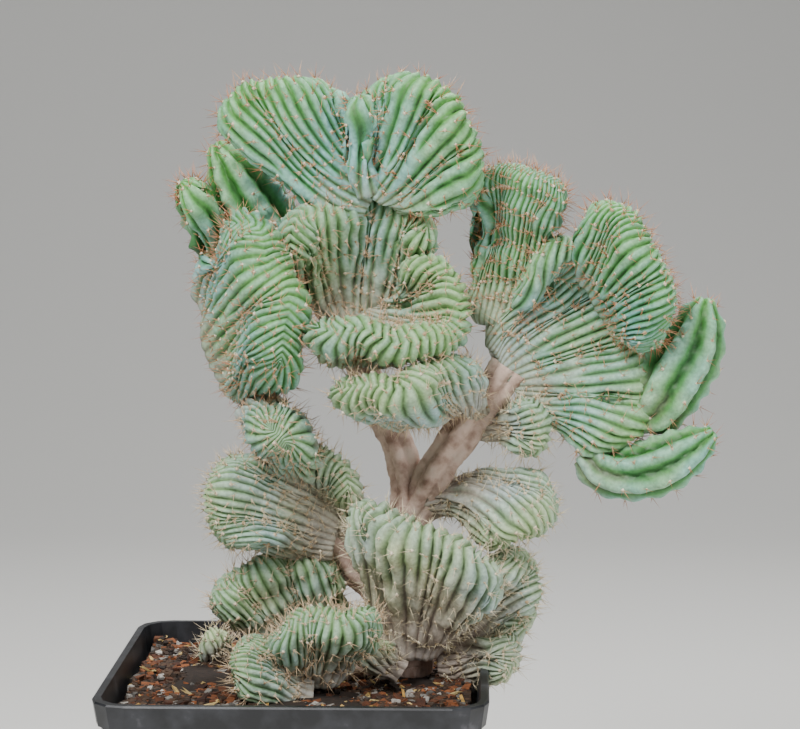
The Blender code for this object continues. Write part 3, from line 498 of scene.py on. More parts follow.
def new_material(name: str) -> tuple[Any, Any, Any]:
    """Makes a material.

    Args:
        name: Its name.

    Returns:
        The material, its node tree and its Principled shader.
    """
    made = bpy.data.materials.new(name)
    made.use_nodes = True
    return made, made.node_tree, made.node_tree.nodes["Principled BSDF"]


def paint(tree: Any, shader: Any, colour: Any, roughness: float) -> None:
    """Gives the shader a colour from a socket, and a roughness."""
    tree.links.new(colour, shader.inputs["Base Color"])
    shader.inputs["Roughness"].default_value = roughness


def add_bump(tree: Any, shader: Any, size: float, height: float, strength: float) -> None:
    """Gives the shader a fine relief.

    Args:
        tree: The node tree.
        shader: The Principled shader.
        size: The size of the grain, in millimetres.
        height: The height of the grain, in millimetres.
        strength: How strongly it shows, from 0 to 1.
    """
    settings = {"Strength": strength, "Distance": height * MM}
    bump = add_node(tree, "ShaderNodeBump", settings, {"Height": noise(tree, size, 4.0)})
    tree.links.new(bump.outputs[0], shader.inputs["Normal"])


@dataclass(frozen=True)
class WaxyFlesh:
    """Living cactus skin. Wax dulls it and shows palest on the ribs; the darker grooves between them are
    painted shade. With age it greys and corks.
    """

    age: float
    # Painted shade: the colour of the grooves between the ribs, young and old
    painted_groove_shade: tuple[str, str] = ("#1e6420", "#5c6152")
    flank: tuple[str, str] = ("#3f9146", "#a2a596")
    bloom: tuple[str, str] = ("#8cc7b2", "#dcd9d0")
    fresh: tuple[str, str] = ("#5aa83a", "#9cb080")
    cork: str = "#b3a196"
    warm: str = "#f2f5c4"
    cool: str = "#cfeaff"
    tint: float = 34.0
    patch: float = 14.0
    speck: float = 1.3
    tint_strength: float = 0.75
    speck_strength: float = 0.5
    greying: float = 0.75

    def build(self) -> Any:
        """The material."""
        made, tree, shader = new_material(f"waxy_flesh_{round(self.age * 100):02d}")
        pairs = (self.painted_groove_shade, self.flank, self.bloom, self.fresh)
        painted_groove_shade, flank, bloom, fresh = [between(*pair, self.age**self.greying) for pair in pairs]
        ridge, along = attribute(tree, "ridge"), attribute(tree, "along")
        patches = noise(tree, self.patch)
        worn = add_node(tree, "ShaderNodeMath", {"operation": "MULTIPLY_ADD", 1: 0.5, 2: -0.25}, {0: patches})
        height = add_node(tree, "ShaderNodeMath", {"operation": "ADD"}, {0: ridge, 1: worn.outputs[0]})
        # Painted shade: the skin darkens towards the grooves between the ribs, and pales to the wax bloom on
        # the ribs
        skin = add_ramp(tree, height.outputs[0], [(0.12, painted_groove_shade), (0.45, flank), (0.95, bloom)])
        tint = add_ramp(tree, noise(tree, self.tint), [(0.38, self.warm), (0.62, self.cool)])
        skin = mix(tree, self.tint_strength, skin, tint, "MULTIPLY")
        tender = {"From Min": 0.72, "From Max": 1.0, "To Max": 0.45}
        young = add_node(tree, "ShaderNodeMapRange", tender, {"Value": along})
        skin = mix(tree, young.outputs[0], skin, fresh)
        foot = add_node(tree, "ShaderNodeMath", {"operation": "SUBTRACT"}, {0: patches, 1: along})
        spread = {
            "From Min": 0.25 - 0.75 * self.age,
            "From Max": 0.55 - 0.45 * self.age,
            "To Max": 0.35 + 0.55 * self.age,
        }
        corked = add_node(tree, "ShaderNodeMapRange", spread, {"Value": foot.outputs[0]})
        skin = mix(tree, corked.outputs[0], skin, self.cork)
        specks = add_ramp(tree, noise(tree, self.speck, 2.0), [(0.3, "#a8a8a8"), (0.65, "#ffffff")])
        skin = mix(tree, self.speck_strength, skin, specks, "MULTIPLY")
        paint(tree, shader, skin, 0.5 + 0.25 * self.age)
        shader.inputs["Subsurface Weight"].default_value = 0.08 * (1 - self.age)
        shader.inputs["Subsurface Scale"].default_value = 2 * MM
        add_bump(tree, shader, 0.9, 0.25, 0.35 + 0.35 * self.age)
        return made


@dataclass(frozen=True)
class CorkBark:
    """Dry cork on an old stem: dull, cracked across, pinkish grey with browner cracks."""

    pale: str = "#c8ae9f"
    dark: str = "#86695a"
    palest: str = "#cfc0b3"
    patch: float = 6.0

    def build(self) -> Any:
        """The material."""
        made, tree, shader = new_material("cork_bark")
        stops = [(0.32, self.dark), (0.55, self.pale), (0.8, self.palest)]
        paint(tree, shader, add_ramp(tree, noise(tree, self.patch, 6.0), stops), 0.85)
        add_bump(tree, shader, 1.4, 0.5, 0.8)
        return made


@dataclass(frozen=True)
class MouldedPlastic:
    """Black moulded polypropylene: a soft sheen, with pale dusty scuffs where it has been handled."""

    body: str = "#17181b"
    dusty: str = "#2c2d31"
    scuff: str = "#6d6c72"
    patch: float = 9.0

    def build(self) -> Any:
        """The material."""
        made, tree, shader = new_material("moulded_polypropylene")
        stops = [(0.42, self.body), (0.62, self.dusty), (0.85, self.scuff)]
        paint(tree, shader, add_ramp(tree, noise(tree, self.patch, 8.0), stops), 0.42)
        add_bump(tree, shader, 0.7, 0.1, 0.25)
        return made


@dataclass(frozen=True)
class LooseMatter:
    """Matt matter that lies loose: bark, pumice, straw or crumbs, each bit its own tone."""

    name: str
    tones: tuple[str, str]
    grain: float = 2.0

    def build(self) -> Any:
        """The material."""
        made, tree, shader = new_material(self.name)
        colour = mix(tree, attribute(tree, "tone"), *self.tones)
        shade = add_ramp(tree, noise(tree, self.grain, 4.0), [(0.3, "#7a7a7a"), (0.7, "#ffffff")])
        paint(tree, shader, mix(tree, 0.7, colour, shade, "MULTIPLY"), 0.9)
        add_bump(tree, shader, self.grain / 2, 0.3, 0.6)
        return made


@dataclass(frozen=True)
class SpineHorn:
    """Dry spine, smooth as horn: red-brown when new, bleached to straw when old."""

    age: float
    new: str = "#a8562f"
    old: str = "#d9cbb0"
    straw: str = "#e8d8a8"

    def build(self) -> Any:
        """The material."""
        made, tree, shader = new_material(f"spine_horn_{round(self.age * 100):02d}")
        first = between(self.new, self.old, min(1.0, self.age * 1.3))
        colour = mix(tree, attribute(tree, "tone"), first, between(first, self.straw, 0.6))
        paint(tree, shader, colour, 0.45)
        return made


@dataclass(frozen=True)
class AreoleWool:
    """Short felted wool at the foot of the spines: dull cream, tan with dust."""

    dusty: str = "#b49a76"
    cream: str = "#e6dcc4"
    patch: float = 5.0

    def build(self) -> Any:
        """The material."""
        made, tree, shader = new_material("areole_wool")
        stops = [(0.35, self.dusty), (0.65, self.cream)]
        paint(tree, shader, add_ramp(tree, noise(tree, self.patch), stops), 0.95)
        add_bump(tree, shader, 0.4, 0.2, 0.7)
        return made


def sighted(points: Any) -> np.ndarray:
    """Turns points on the photograph into places.

    Args:
        points: Each as pixel across, pixel down and depth along Y in millimetres.

    Returns:
        The places, in whole millimetres.
    """
    turn, down, roll = (angle * pi / 180 for angle in (EYE_TURN, EYE_DOWN, EYE_ROLL))
    ahead = np.array([sin(turn) * cos(down), cos(turn) * cos(down), -sin(down)])
    level = np.array([cos(turn), -sin(turn), 0.0])
    upright = np.cross(level, ahead)
    right = level * cos(roll) + upright * sin(roll)
    up = upright * cos(roll) - level * sin(roll)
    points = np.atleast_2d(np.asarray(points, float))
    across, drop = ((points[:, k, None] - PHOTO_MIDDLE[k]) / EYE_FOCUS for k in (0, 1))
    ways = ahead + right * across - up * drop
    reach = (points[:, 2] - EYE[1]) / ways[:, 1]
    return np.round(np.array(EYE) + ways * reach[:, None])


def unit(vectors: Any) -> np.ndarray:
    """The vectors at length 1."""
    vectors = np.asarray(vectors, float)
    return vectors / np.maximum(np.linalg.norm(vectors, axis=-1, keepdims=True), 1e-9)


def ease(x: Any) -> np.ndarray:
    """0 to 1 with a smooth start and end."""
    x = np.clip(x, 0, 1)
    return x * x * (3 - 2 * x)


def spline(points: Any, u: np.ndarray) -> np.ndarray:
    """A smooth curve through points.

    Args:
        points: The points.
        u: Where along it, from -1 to 1.

    Returns:
        The curve's points there.
    """
    p = np.asarray(points, float)
    if len(p) == 1:
        return np.repeat(p, len(u), 0)
    steps = np.linalg.norm(np.diff(p, axis=0), axis=1) ** 0.75 + 1e-6
    knots = np.concatenate([[0], np.cumsum(steps)]) / steps.sum()
    slopes = np.empty_like(p)
    slopes[1:-1] = (p[2:] - p[:-2]) / (knots[2:] - knots[:-2])[:, None]
    slopes[0] = (p[1] - p[0]) / (knots[1] - knots[0])
    slopes[-1] = (p[-1] - p[-2]) / (knots[-1] - knots[-2])
    x = np.clip((np.asarray(u) + 1) / 2, 0, 1)
    i = np.clip(np.searchsorted(knots, x, side="right") - 1, 0, len(p) - 2)
    span = (knots[i + 1] - knots[i])[:, None]
    s = ((x - knots[i]) / (knots[i + 1] - knots[i]))[:, None]
    near = (2 * s**3 - 3 * s**2 + 1) * p[i] + (s**3 - 2 * s**2 + s) * span * slopes[i]
    far = (3 * s**2 - 2 * s**3) * p[i + 1] + (s**3 - s**2) * span * slopes[i + 1]
    return near + far


def even_curve(points: Any, count: int) -> tuple[np.ndarray, float]:
    """A smooth curve through points, cut at even steps.

    Args:
        points: The points.
        count: How many points the curve gets.

    Returns:
        The curve's points, and its length.
    """
    dense = spline(points, np.linspace(-1, 1, SPLINE_SAMPLES))
    run = np.concatenate([[0], np.cumsum(np.linalg.norm(np.diff(dense, axis=0), axis=1))])
    at = np.linspace(0, run[-1], count)
    return np.stack([np.interp(at, run, dense[:, k]) for k in range(3)], -1), run[-1]


class Sheet:
    """The middle surface of a crest: u runs along its rim from -1 to 1, and w from root to rim."""

    def __init__(self, crest: Crest) -> None:
        """Lays the guides of the sheet.

        Args:
            crest: The crest.
        """
        self.u = np.linspace(-1, 1, CURVE_POINTS)
        rim, length = even_curve(sighted(crest.rim), CURVE_POINTS)
        root = sighted(crest.root)[0]
        leaves = crest.leaves or [unit(rim.mean(0) - root)]
        if crest.back:
            base, _ = even_curve(sighted(crest.back), CURVE_POINTS)
        else:
            middle = unit(leaves[len(leaves) // 2])
            side = unit(rim[-1] - rim[0])
            side = unit(side - middle * (side @ middle))
            base = root + side * (crest.neck * self.u)[:, None]
        along = unit(np.gradient(rim, axis=0))
        radial = unit(rim - base)
        across = unit(radial - along * (radial * along).sum(1)[:, None])
        flat = unit(np.cross(along, across))
        waves = max(1, round(length / WAVE_LENGTH))
        swing = WAVE * np.sin(pi * waves * (self.u + 1)) * (1 - self.u**4)
        rim = rim + flat * swing[:, None]
        arrives = radial + across
        if crest.curls:
            arrives = unit(arrives) + spline(crest.curls, self.u)
        for _ in range(CURVE_POINTS // 8):
            arrives[1:-1] = (arrives[:-2] + 2 * arrives[1:-1] + arrives[2:]) / 4
        reach = np.linalg.norm(rim - base, axis=1)[:, None]
        first = base + LEAVE_REACH * reach * unit(spline(leaves, self.u))
        last = rim - ARRIVE_REACH * reach * unit(arrives)
        self.guides = (base, first, last, rim)
        self.w = np.linspace(0, 1, PATH_SAMPLES)
        paths = self.at(self.u, np.tile(self.w, (CURVE_POINTS, 1)))
        steps = np.linalg.norm(np.diff(paths, axis=1), axis=2)
        runs = np.concatenate([np.zeros((CURVE_POINTS, 1)), np.cumsum(steps, 1)], 1)
        self.lengths = runs[:, -1]
        self.shares = runs / self.lengths[:, None]

    def at(self, u: np.ndarray, w: np.ndarray) -> np.ndarray:
        """Points of the sheet.

        Args:
            u: One for each row.
            w: Each row's values.

        Returns:
            The points, row by row.
        """
        guides = [
            np.stack([np.interp(u, self.u, g[:, k]) for k in range(3)], -1)[:, None, :]
            for g in self.guides
        ]
        w = np.asarray(w)[..., None]
        shares = ((1 - w) ** 3, 3 * w * (1 - w) ** 2, 3 * w * w * (1 - w), w**3)
        return sum(g * s for g, s in zip(guides, shares))

    def w_at(self, u: np.ndarray, share: np.ndarray) -> np.ndarray:
        """The w at a share of the way along a rib's path.

        Args:
            u: Where each path stands along the rim.
            share: The share of its length.

        Returns:
            Each path's w.
        """
        column = np.clip((u + 1) / 2 * (CURVE_POINTS - 1), 0, CURVE_POINTS - 1.001)
        low = column.astype(int)
        part = (column - low)[:, None]
        tables = self.shares[low] * (1 - part) + self.shares[low + 1] * part
        return np.array([np.interp(s, table, self.w) for s, table in zip(share, tables)])


def stadium(count: int, half_width: float, half_thick: float) -> tuple[np.ndarray, np.ndarray]:
    """A flat ring with round ends, at even steps.

    Args:
        count: How many points it has.
        half_width: Half its width.
        half_thick: Half its thickness.

    Returns:
        How far across each point lies and how far out, both from -1 to 1.
    """
    straight = 2 * (half_width - half_thick)
    quarter = pi * half_thick / 2
    across, out = np.empty(count), np.empty(count)
    for k in range(count):
        run = k / count * (2 * straight + 4 * quarter)
        if run < quarter:
            turn, centre = run / half_thick, half_width - half_thick
        elif run < quarter + straight:
            turn, centre = pi / 2, half_width - half_thick - (run - quarter)
        elif run < 3 * quarter + straight:
            turn, centre = (run - straight) / half_thick, half_thick - half_width
        elif run < 3 * quarter + 2 * straight:
            turn = 3 * pi / 2
            centre = half_thick - half_width + (run - 3 * quarter - straight)
        else:
            turn, centre = (run - 2 * straight) / half_thick, half_width - half_thick
        across[k] = (centre + half_thick * cos(turn)) / half_width
        out[k] = sin(turn)
    return across, out


def crest_rings(crest: Crest, columns: int, levels: int, caps: int) -> tuple[np.ndarray, ...]:
    """The smooth skin of a crest as rings of points.

    Args:
        crest: The crest.
        columns: The count of points in a ring.
        levels: The count of steps from the root to the rim.
        caps: The count of rings that round the rim off.

    Returns:
        The rings, each point's share of the way to the rim, and its distance from the rim.
    """
    sheet = Sheet(crest)
    thin = min(crest.thick, crest.neck)
    rows = [(share, 0.0) for share in np.linspace(0, 1, levels + 1)]
    rows += [(1.0, pi / 2 * step / (caps + 1)) for step in range(1, caps + 1)]
    rows += [(1.0, pi / 2 * LAST_CAP)]
    rings, ways, runs = [], [], []
    for share, cap in rows:
        line = np.linspace(-1, 1, PATH_SAMPLES)
        level = sheet.at(line, sheet.w_at(line, np.full(PATH_SAMPLES, share * LEVEL_SHARE))[:, None])
        half_width = np.linalg.norm(np.diff(level[:, 0], axis=0), axis=1).sum() / 2
        thick = thin + (crest.thick - thin) * ease(share * THICKENS_BY)
        thick = min(thick, half_width * WIDEST_THICK)
        u, out = stadium(columns, half_width, thick)
        u = u * (half_width - thick * (1 - cos(cap))) / half_width
        end = np.minimum(crest.thick / np.interp(u, sheet.u, sheet.lengths), END_LONGEST)
        way = share * (1 - end) + end * sin(cap)
        w = sheet.w_at(u, way)
        here = w[:, None]
        along = sheet.at(np.minimum(u + UV_STEP, 1), here) - sheet.at(np.maximum(u - UV_STEP, -1), here)
        up = sheet.at(u, np.minimum(here + UV_STEP, 1)) - sheet.at(u, np.maximum(here - UV_STEP, 0))
        normal = unit(np.cross(along[:, 0], up[:, 0]))
        rings.append(sheet.at(u, here)[:, 0] + normal * (out * thick * cos(cap))[:, None])
        ways.append(way)
        runs.append((1 - way) * np.interp(u, sheet.u, sheet.lengths))
    return np.array(rings), np.array(ways), np.array(runs)


def shoot_rings(shoot: Shoot, columns: int, levels: int) -> np.ndarray:
    """The smooth skin of a plain shoot.

    Args:
        shoot: The shoot.
        columns: The count of points in a ring.
        levels: The count of steps from its foot to its tip.

    Returns:
        The rings of points.
    """
    line, _ = even_curve(shoot.places(), levels + 1)
    ahead = unit(np.gradient(line, axis=0))
    side = unit(np.cross(ahead, [0.0, 1.0, 0.0]))
    front = np.cross(ahead, side)
    radii = np.interp(np.linspace(0, 1, levels + 1), np.linspace(0, 1, len(shoot.radii)), shoot.radii)
    turn = 2 * pi * np.arange(columns) / columns
    circle = side[:, None] * np.cos(turn)[None, :, None] + front[:, None] * np.sin(turn)[None, :, None]
    return line[:, None] + circle * radii[:, None, None]


def normals_of(rings: np.ndarray) -> np.ndarray:
    """Unit normals of a grid of rings.

    Args:
        rings: The rings of points.

    Returns:
        The normals, pointing out.
    """
    along = np.roll(rings, -1, 1) - np.roll(rings, 1, 1)
    up = np.gradient(rings, axis=0)
    normal = unit(np.cross(along, up))
    middle = len(rings) // 2
    outward = rings[middle] - rings[middle].mean(0)
    return -normal if (outward * normal[middle]).sum() < 0 else normal


@dataclass
class Skin:
    """A stem's fine skin: its rings of points, and for each point its outward way, rib share and place."""

    points: np.ndarray
    normals: np.ndarray
    ridge: np.ndarray
    along: np.ndarray
    run: np.ndarray
    ribs: int


def knobs(ribs: int, columns: int, run: np.ndarray, draw: np.random.Generator) -> np.ndarray:
    """How far each rib swells towards the foot of each tuft of spines.

    Args:
        ribs: The count of ribs.
        columns: The count of columns round the stem.
        run: Each point's distance from the rim.
        draw: The random numbers.

    Returns:
        A factor near 1 for every point.
    """
    rib = np.round(np.arange(columns) / columns * ribs).astype(int) % ribs
    phase = draw.uniform(0, 2 * pi, ribs)[rib]
    share = KNOB_SHARE + (RIM_KNOB_SHARE - KNOB_SHARE) * ease(1 - run / RIM_KNOB_REACH)
    return 1 + share * np.cos(2 * pi * run / KNOB_SPACING + phase)


def lumps(points: np.ndarray, draw: np.random.Generator) -> np.ndarray:
    """The uneven swells of a grown thing, in millimetres, for every point.

    Args:
        points: The points.
        draw: The random numbers.

    Returns:
        How far each point moves out.
    """
    total = np.zeros(points.shape[:-1])
    for share in LUMP_SIZES:
        way = unit(draw.normal(0, 1, 3)) * 2 * pi / (LUMP_SPACING * share)
        total += LUMP_HEIGHT * share * np.sin(points @ way + draw.uniform(0, 2 * pi))
    return total


def crest_skin(crest: Crest, draw: np.random.Generator) -> Skin:
    """Grows a crest's fine skin, with ribs that fork on their way to the rim.

    Args:
        crest: The crest.
        draw: The random numbers.

    Returns:
        The skin.
    """
    pairs = max(4, crest.ribs // 2)
    columns = pairs * 2 * COLUMNS_PER_RIB
    rings, along, run = crest_rings(crest, columns, CREST_ROWS, CAP_ROWS)
    normals = normals_of(rings)
    turn = np.arange(columns) / columns * pairs
    rib = np.floor(turn + 0.5).astype(int) % pairs
    forked = ease((along - draw.uniform(FORK_FROM, FORK_TO, pairs)[rib]) / FORK_SPAN + 0.5)
    width = np.linalg.norm(np.roll(rings, -1, 1) - rings, axis=2).sum(1)[:, None] / pairs
    single = np.abs(np.cos(pi * turn)) ** RIB_ROUND
    double = np.abs(np.sin(2 * pi * turn)) ** RIB_ROUND
    ridge = (1 - forked) * single + forked * double
    low = np.minimum(RIB_HEIGHT * SINGLE_RIB_RISE, RIB_SHARE * SINGLE_RIB_SHARE * width)
    high = np.minimum(RIB_HEIGHT, RIB_SHARE * width / 2)
    height = (1 - forked) * low * (single - 0.5) + forked * high * (double - 0.5)
    height = height * draw.uniform(*RIB_UNEVEN, pairs)[rib] * knobs(2 * pairs, columns, run, draw)
    height = height * (NECK_RIB_SHARE + (1 - NECK_RIB_SHARE) * ease(along / NECK_FADE))
    height = height + lumps(rings, draw) * (1 - (run < CALM_RIM) * 0.5) - FLESH_SUNK
    return Skin(rings + normals * height[..., None], normals, ridge, along, run, 2 * pairs)


def shoot_skin(shoot: Shoot, draw: np.random.Generator) -> Skin:
    """Grows a plain shoot's fine skin, with sharp ribs.

    Args:
        shoot: The shoot.
        draw: The random numbers.

    Returns:
        The skin.
    """
    columns = shoot.ribs * SHOOT_COLUMNS_PER_RIB
    rings = shoot_rings(shoot, columns, SHOOT_ROWS)
    normals = normals_of(rings)
    round_it = np.abs(np.cos(pi * np.arange(columns) / SHOOT_COLUMNS_PER_RIB))
    ridge = np.tile(round_it**SHOOT_RIB_SHARP, (len(rings), 1))
    girth = np.linalg.norm(np.roll(rings, -1, 1) - rings, axis=2).sum(1)[:, None]
    along = np.tile(np.linspace(0, 1, len(rings))[:, None], (1, columns))
    _, length = even_curve(shoot.places(), 3)
    run = (1 - along) * length
    height = np.minimum(shoot.rib_height, SHOOT_RIB_SHARE * girth / shoot.ribs) * (ridge - 0.5)
    height = height * knobs(shoot.ribs, columns, run, draw)
    return Skin(rings + normals * height[..., None], normals, ridge, along, run, shoot.ribs)


def ring_faces(rows: int, columns: int) -> list[tuple[int, ...]]:
    """The faces of a closed skin of rings, with each end sewn across from side to side.

    Args:
        rows: The count of rings.
        columns: The count of points in a ring.

    Returns:
        The faces as point numbers.
    """
    faces: list[tuple[int, ...]] = []
    for low in range(0, (rows - 1) * columns, columns):
        high = low + columns
        for k in range(columns):
            n = (k + 1) % columns
            faces.append((low + k, low + n, high + n, high + k))
    for start, back in ((0, True), ((rows - 1) * columns, False)):
        for k in range(columns // 2):
            corners = (k, k + 1, (-k - 1) % columns, -k % columns)
            face = [start + corner for corner in dict.fromkeys(corners)]
            faces.append(tuple(face[::-1]) if back else tuple(face))
    return faces


def facing_out(points: np.ndarray, faces: list[tuple[int, ...]]) -> list[tuple[int, ...]]:
    """Turns the faces of a closed skin to face out, by the sign of the volume that they enclose.

    Args:
        points: The points.
        faces: The faces as point numbers.

    Returns:
        The faces, all turned round if they faced in.
    """
    corners = np.array([face[:3] for face in faces] + [(f[0], f[2], f[3]) for f in faces if len(f) == 4])
    a, b, c = (points[corners[:, k]] for k in range(3))
    return [face[::-1] for face in faces] if (a * np.cross(b, c)).sum() < 0 else faces


def add_object(name: str, data: Any) -> Any:
    """Adds an object to the scene.

    Args:
        name: Its name.
        data: Its mesh, light or camera.

    Returns:
        The new object.
    """
    made = bpy.data.objects.new(name, data)
    bpy.context.scene.collection.objects.link(made)
    return made


def make_piece(
    name: str, points: np.ndarray, faces: Any, finishes: list[Any], values: dict[str, np.ndarray],
    chosen: np.ndarray | None = None,
) -> Any:
    """Makes a piece that rides on the part.

    Args:
        name: The piece's name.
        points: Its points, in millimetres.
        faces: Its faces as point numbers.
        finishes: Its materials.
        values: Numbers for each point, by name, for the materials to read.
        chosen: Each face's material number, if there are several.

    Returns:
        The new object.
    """
    mesh = bpy.data.meshes.new(name)
    mesh.from_pydata((points * MM).tolist(), [], faces)
    for finish in finishes:
        mesh.materials.append(finish)
    if chosen is not None:
        mesh.polygons.foreach_set("material_index", chosen.astype(np.int32))
    for key, numbers in values.items():
        kept = mesh.attributes.new(key, "FLOAT", "POINT")
        kept.data.foreach_set("value", numbers.astype(np.float32).ravel())
    mesh.shade_smooth()
    piece = add_object(name, mesh)
    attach(piece, "root")
    LOG.info("%s: %d faces", name, len(mesh.polygons))
    return piece


def frames_for(ways: np.ndarray) -> tuple[np.ndarray, np.ndarray]:
    """Finds two unit vectors square to each way and to each other.

    Args:
        ways: Unit vectors.

    Returns:
        The first and the second of each.
    """
    helper = np.where(np.abs(ways[:, 2:3]) < 0.9, [[0.0, 0.0, 1.0]], [[1.0, 0.0, 0.0]])
    side = unit(np.cross(ways, helper))
    return side, np.cross(ways, side)


@dataclass
class Tufts:
    """The wool and the spines of one stem."""

    feet: np.ndarray
    ways: np.ndarray
    counts: np.ndarray
    box: tuple[np.ndarray, np.ndarray]

    def wool(self) -> tuple[np.ndarray, np.ndarray]:
        """A small squat pad of wool at every tuft.

        Returns:
            The points, and the faces as point numbers.
        """
        side, front = frames_for(self.ways)
        size = WOOL_RADIUS * (1 + WOOL_UNEVEN * np.sin(np.arange(len(self.feet)) * 2.4))[:, None]
        feet = self.feet - self.ways * WOOL_SUNK
        ring = [feet + side * size, feet + front * size, feet - side * size, feet - front * size]
        ends = [feet + self.ways * size * WOOL_RISE, feet - self.ways * size * WOOL_DROP]
        points = np.stack(ring + ends, 1).reshape(-1, 3)
        upper = [(k, (k + 1) % 4, 4) for k in range(4)]
        lower = [((k + 1) % 4, k, 5) for k in range(4)]
        pad = np.array(upper + lower)
        return points, (np.arange(len(feet))[:, None, None] * 6 + pad).reshape(-1, 3)

    def spines(self, draw: np.random.Generator) -> tuple[np.ndarray, np.ndarray, np.ndarray]:
        """Needles that spread from every tuft.

        Args:
            draw: The random numbers.

        Returns:
            The points, the faces as point numbers, and each point's tone.
        """
        which = np.repeat(np.arange(len(self.feet)), self.counts)
        side, front = frames_for(self.ways[which])
        turn = draw.uniform(0, 2 * pi, len(which))[:, None]
        spread = draw.uniform(*SPINE_SPREAD, len(which))[:, None]
        ways = unit(self.ways[which] + spread * (side * np.cos(turn) + front * np.sin(turn)))
        length = draw.uniform(*SPINE_LENGTH, len(which))[:, None]
        length = length * np.where(spread > WIDE_SPREAD, WIDE_SPINE_SHARE, 1.0)
        feet = self.feet[which] - ways * SPINE_SUNK
        tips = self.feet[which] + ways * length
        low, high = self.box
        inside = ((tips > low) & (tips < high)).all(1)
        ways, feet, tips = ways[inside], feet[inside], tips[inside]
        side, front = frames_for(ways)
        turns = (0, 2 * pi / 3, 4 * pi / 3)
        corners = [feet + SPINE_RADIUS * (side * cos(turn) + front * sin(turn)) for turn in turns]
        points = np.stack([*corners, tips], 1).reshape(-1, 3)
        needle = np.array([(0, 1, 3), (1, 2, 3), (2, 0, 3), (2, 1, 0)])
        faces = (np.arange(len(tips))[:, None, None] * 4 + needle).reshape(-1, 3)
        tone = np.repeat(draw.uniform(0, 1, len(tips)), 4)
        tone = tone + np.tile([0.0, 0.0, 0.0, SPINE_TIP_TONE], len(tips))
        return points, faces, np.clip(tone, 0, 1)


@dataclass
class Stems:
    """Every crest and shoot, with its skin, wool and spines."""

    stems: list[Crest | Shoot]
    box: tuple[np.ndarray, np.ndarray]
    wool: Any = None

    def tufts(self, stem: Crest | Shoot, skin: Skin) -> Tufts:
        """Stands the tufts on a stem's ribs: close together at the rim, then a knob apart.

        Args:
            stem: The stem.
            skin: Its fine skin.

        Returns:
            The tufts.
        """
        is_crest = isinstance(stem, Crest)
        per_rib = COLUMNS_PER_RIB if is_crest else SHOOT_COLUMNS_PER_RIB
        offset = COLUMNS_PER_RIB // 2 if is_crest else 0
        columns = skin.points.shape[1]
        grows = unit(np.gradient(skin.points, axis=0))
        feet, ways, counts = [], [], []
        for rib in range(skin.ribs):
            column = (rib * per_rib + offset) % columns
            distance = FIRST_TUFT + (rib % 2) * TUFT_STAGGER
            while distance < skin.run[0, column] * LOWEST_TUFT_SHARE:
                row = int(np.abs(skin.run[:, column] - distance).argmin())
                lone = is_crest and skin.ridge[row, column] < UNFORKED_RIDGE
                if not (lone and rib % 2):
                    place = (column - offset) % columns if lone else column
                    feet.append(skin.points[row, place])
                    ways.append(skin.normals[row, place] + TUFT_LEAN * grows[row, place])
                    counts.append(SPINES_AT_RIM if distance < RIM_ZONE else SPINES_BELOW)
                distance += RIM_TUFT_SPACING if distance < RIM_ZONE else KNOB_SPACING
        return Tufts(np.array(feet), unit(ways), np.array(counts), self.box)

    def dress(self, stem: Crest | Shoot, number: int) -> None:
        """Makes one stem's pieces.

        Args:
            stem: The stem.
            number: Its number, which seeds its random numbers.
        """
        draw = np.random.default_rng(SEED + number)
        skin = crest_skin(stem, draw) if isinstance(stem, Crest) else shoot_skin(stem, draw)
        rows, columns = skin.points.shape[:2]
        points = np.clip(skin.points.reshape(-1, 3), *self.box)
        faces = facing_out(points, ring_faces(rows, columns))
        values = {"ridge": skin.ridge, "along": skin.along}
        flesh = make_piece(f"{stem.name}_flesh", points, faces, [WaxyFlesh(stem.age).build()], values)
        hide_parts(stem.name)
        tufts = self.tufts(stem, skin)
        wool_points, wool_faces = tufts.wool()
        spine_points, spine_faces, tone = tufts.spines(draw)
        points = np.clip(np.concatenate([wool_points, spine_points]), *self.box)
        faces = np.concatenate([wool_faces, spine_faces + len(wool_points)]).tolist()
        chosen = np.concatenate([np.zeros(len(wool_faces)), np.ones(len(spine_faces))])
        tones = np.concatenate([np.full(len(wool_points), 0.5), tone])
        finishes = [self.wool, SpineHorn(stem.age).build()]
        make_piece(f"{stem.name}_spines", points, faces, finishes, {"tone": tones}, chosen)

    def build(self) -> None:
        """Makes every stem's pieces."""
        self.wool = AreoleWool().build()
        for number, stem in enumerate(self.stems):
            self.dress(stem, number)


@dataclass
class Trunk:
    """The woody trunk and its forks."""

    branches: list[tuple[list, float, float]]
    columns: int = 40
    rows_per_point: int = 12
    ribs: int = 5
    rib_height: float = 1.9
    groove_share: float = 0.6
    rough: float = 0.12
    swell: float = 0.05
    swell_step: float = 0.45

    def build(self) -> None:
        """Makes the trunk as one piece of branches that run into each other."""
        draw = np.random.default_rng(SEED)
        points, faces, start = [], [], 0
        for path, first, last in self.branches:
            rows = self.rows_per_point * len(path)
            line = [tuple(p) for p in even_curve(path, rows + 1)[0]]
            swells = 1 + self.swell * np.sin(np.arange(rows + 1) * self.swell_step)
            radii = list(np.linspace(first, last, rows + 1) * swells)
            shoot = Shoot("branch", line, radii, self.ribs, self.rib_height)
            rings = shoot_rings(shoot, self.columns, rows)
            turn = np.arange(self.columns) / self.columns * self.ribs
            height = self.rib_height * (np.abs(np.cos(pi * turn)) - self.groove_share)
            height = height[None] + draw.normal(0, self.rough, rings.shape[:2])
            rings = rings + normals_of(rings) * height[..., None]
            flat = rings.reshape(-1, 3)
            new = facing_out(flat, ring_faces(*rings.shape[:2]))
            points.append(flat)
            faces += [tuple(start + corner for corner in face) for face in new]
            start += len(flat)
        trunk = make_piece("trunk_bark", np.concatenate(points), faces, [CorkBark().build()], {})
        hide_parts("trunk")


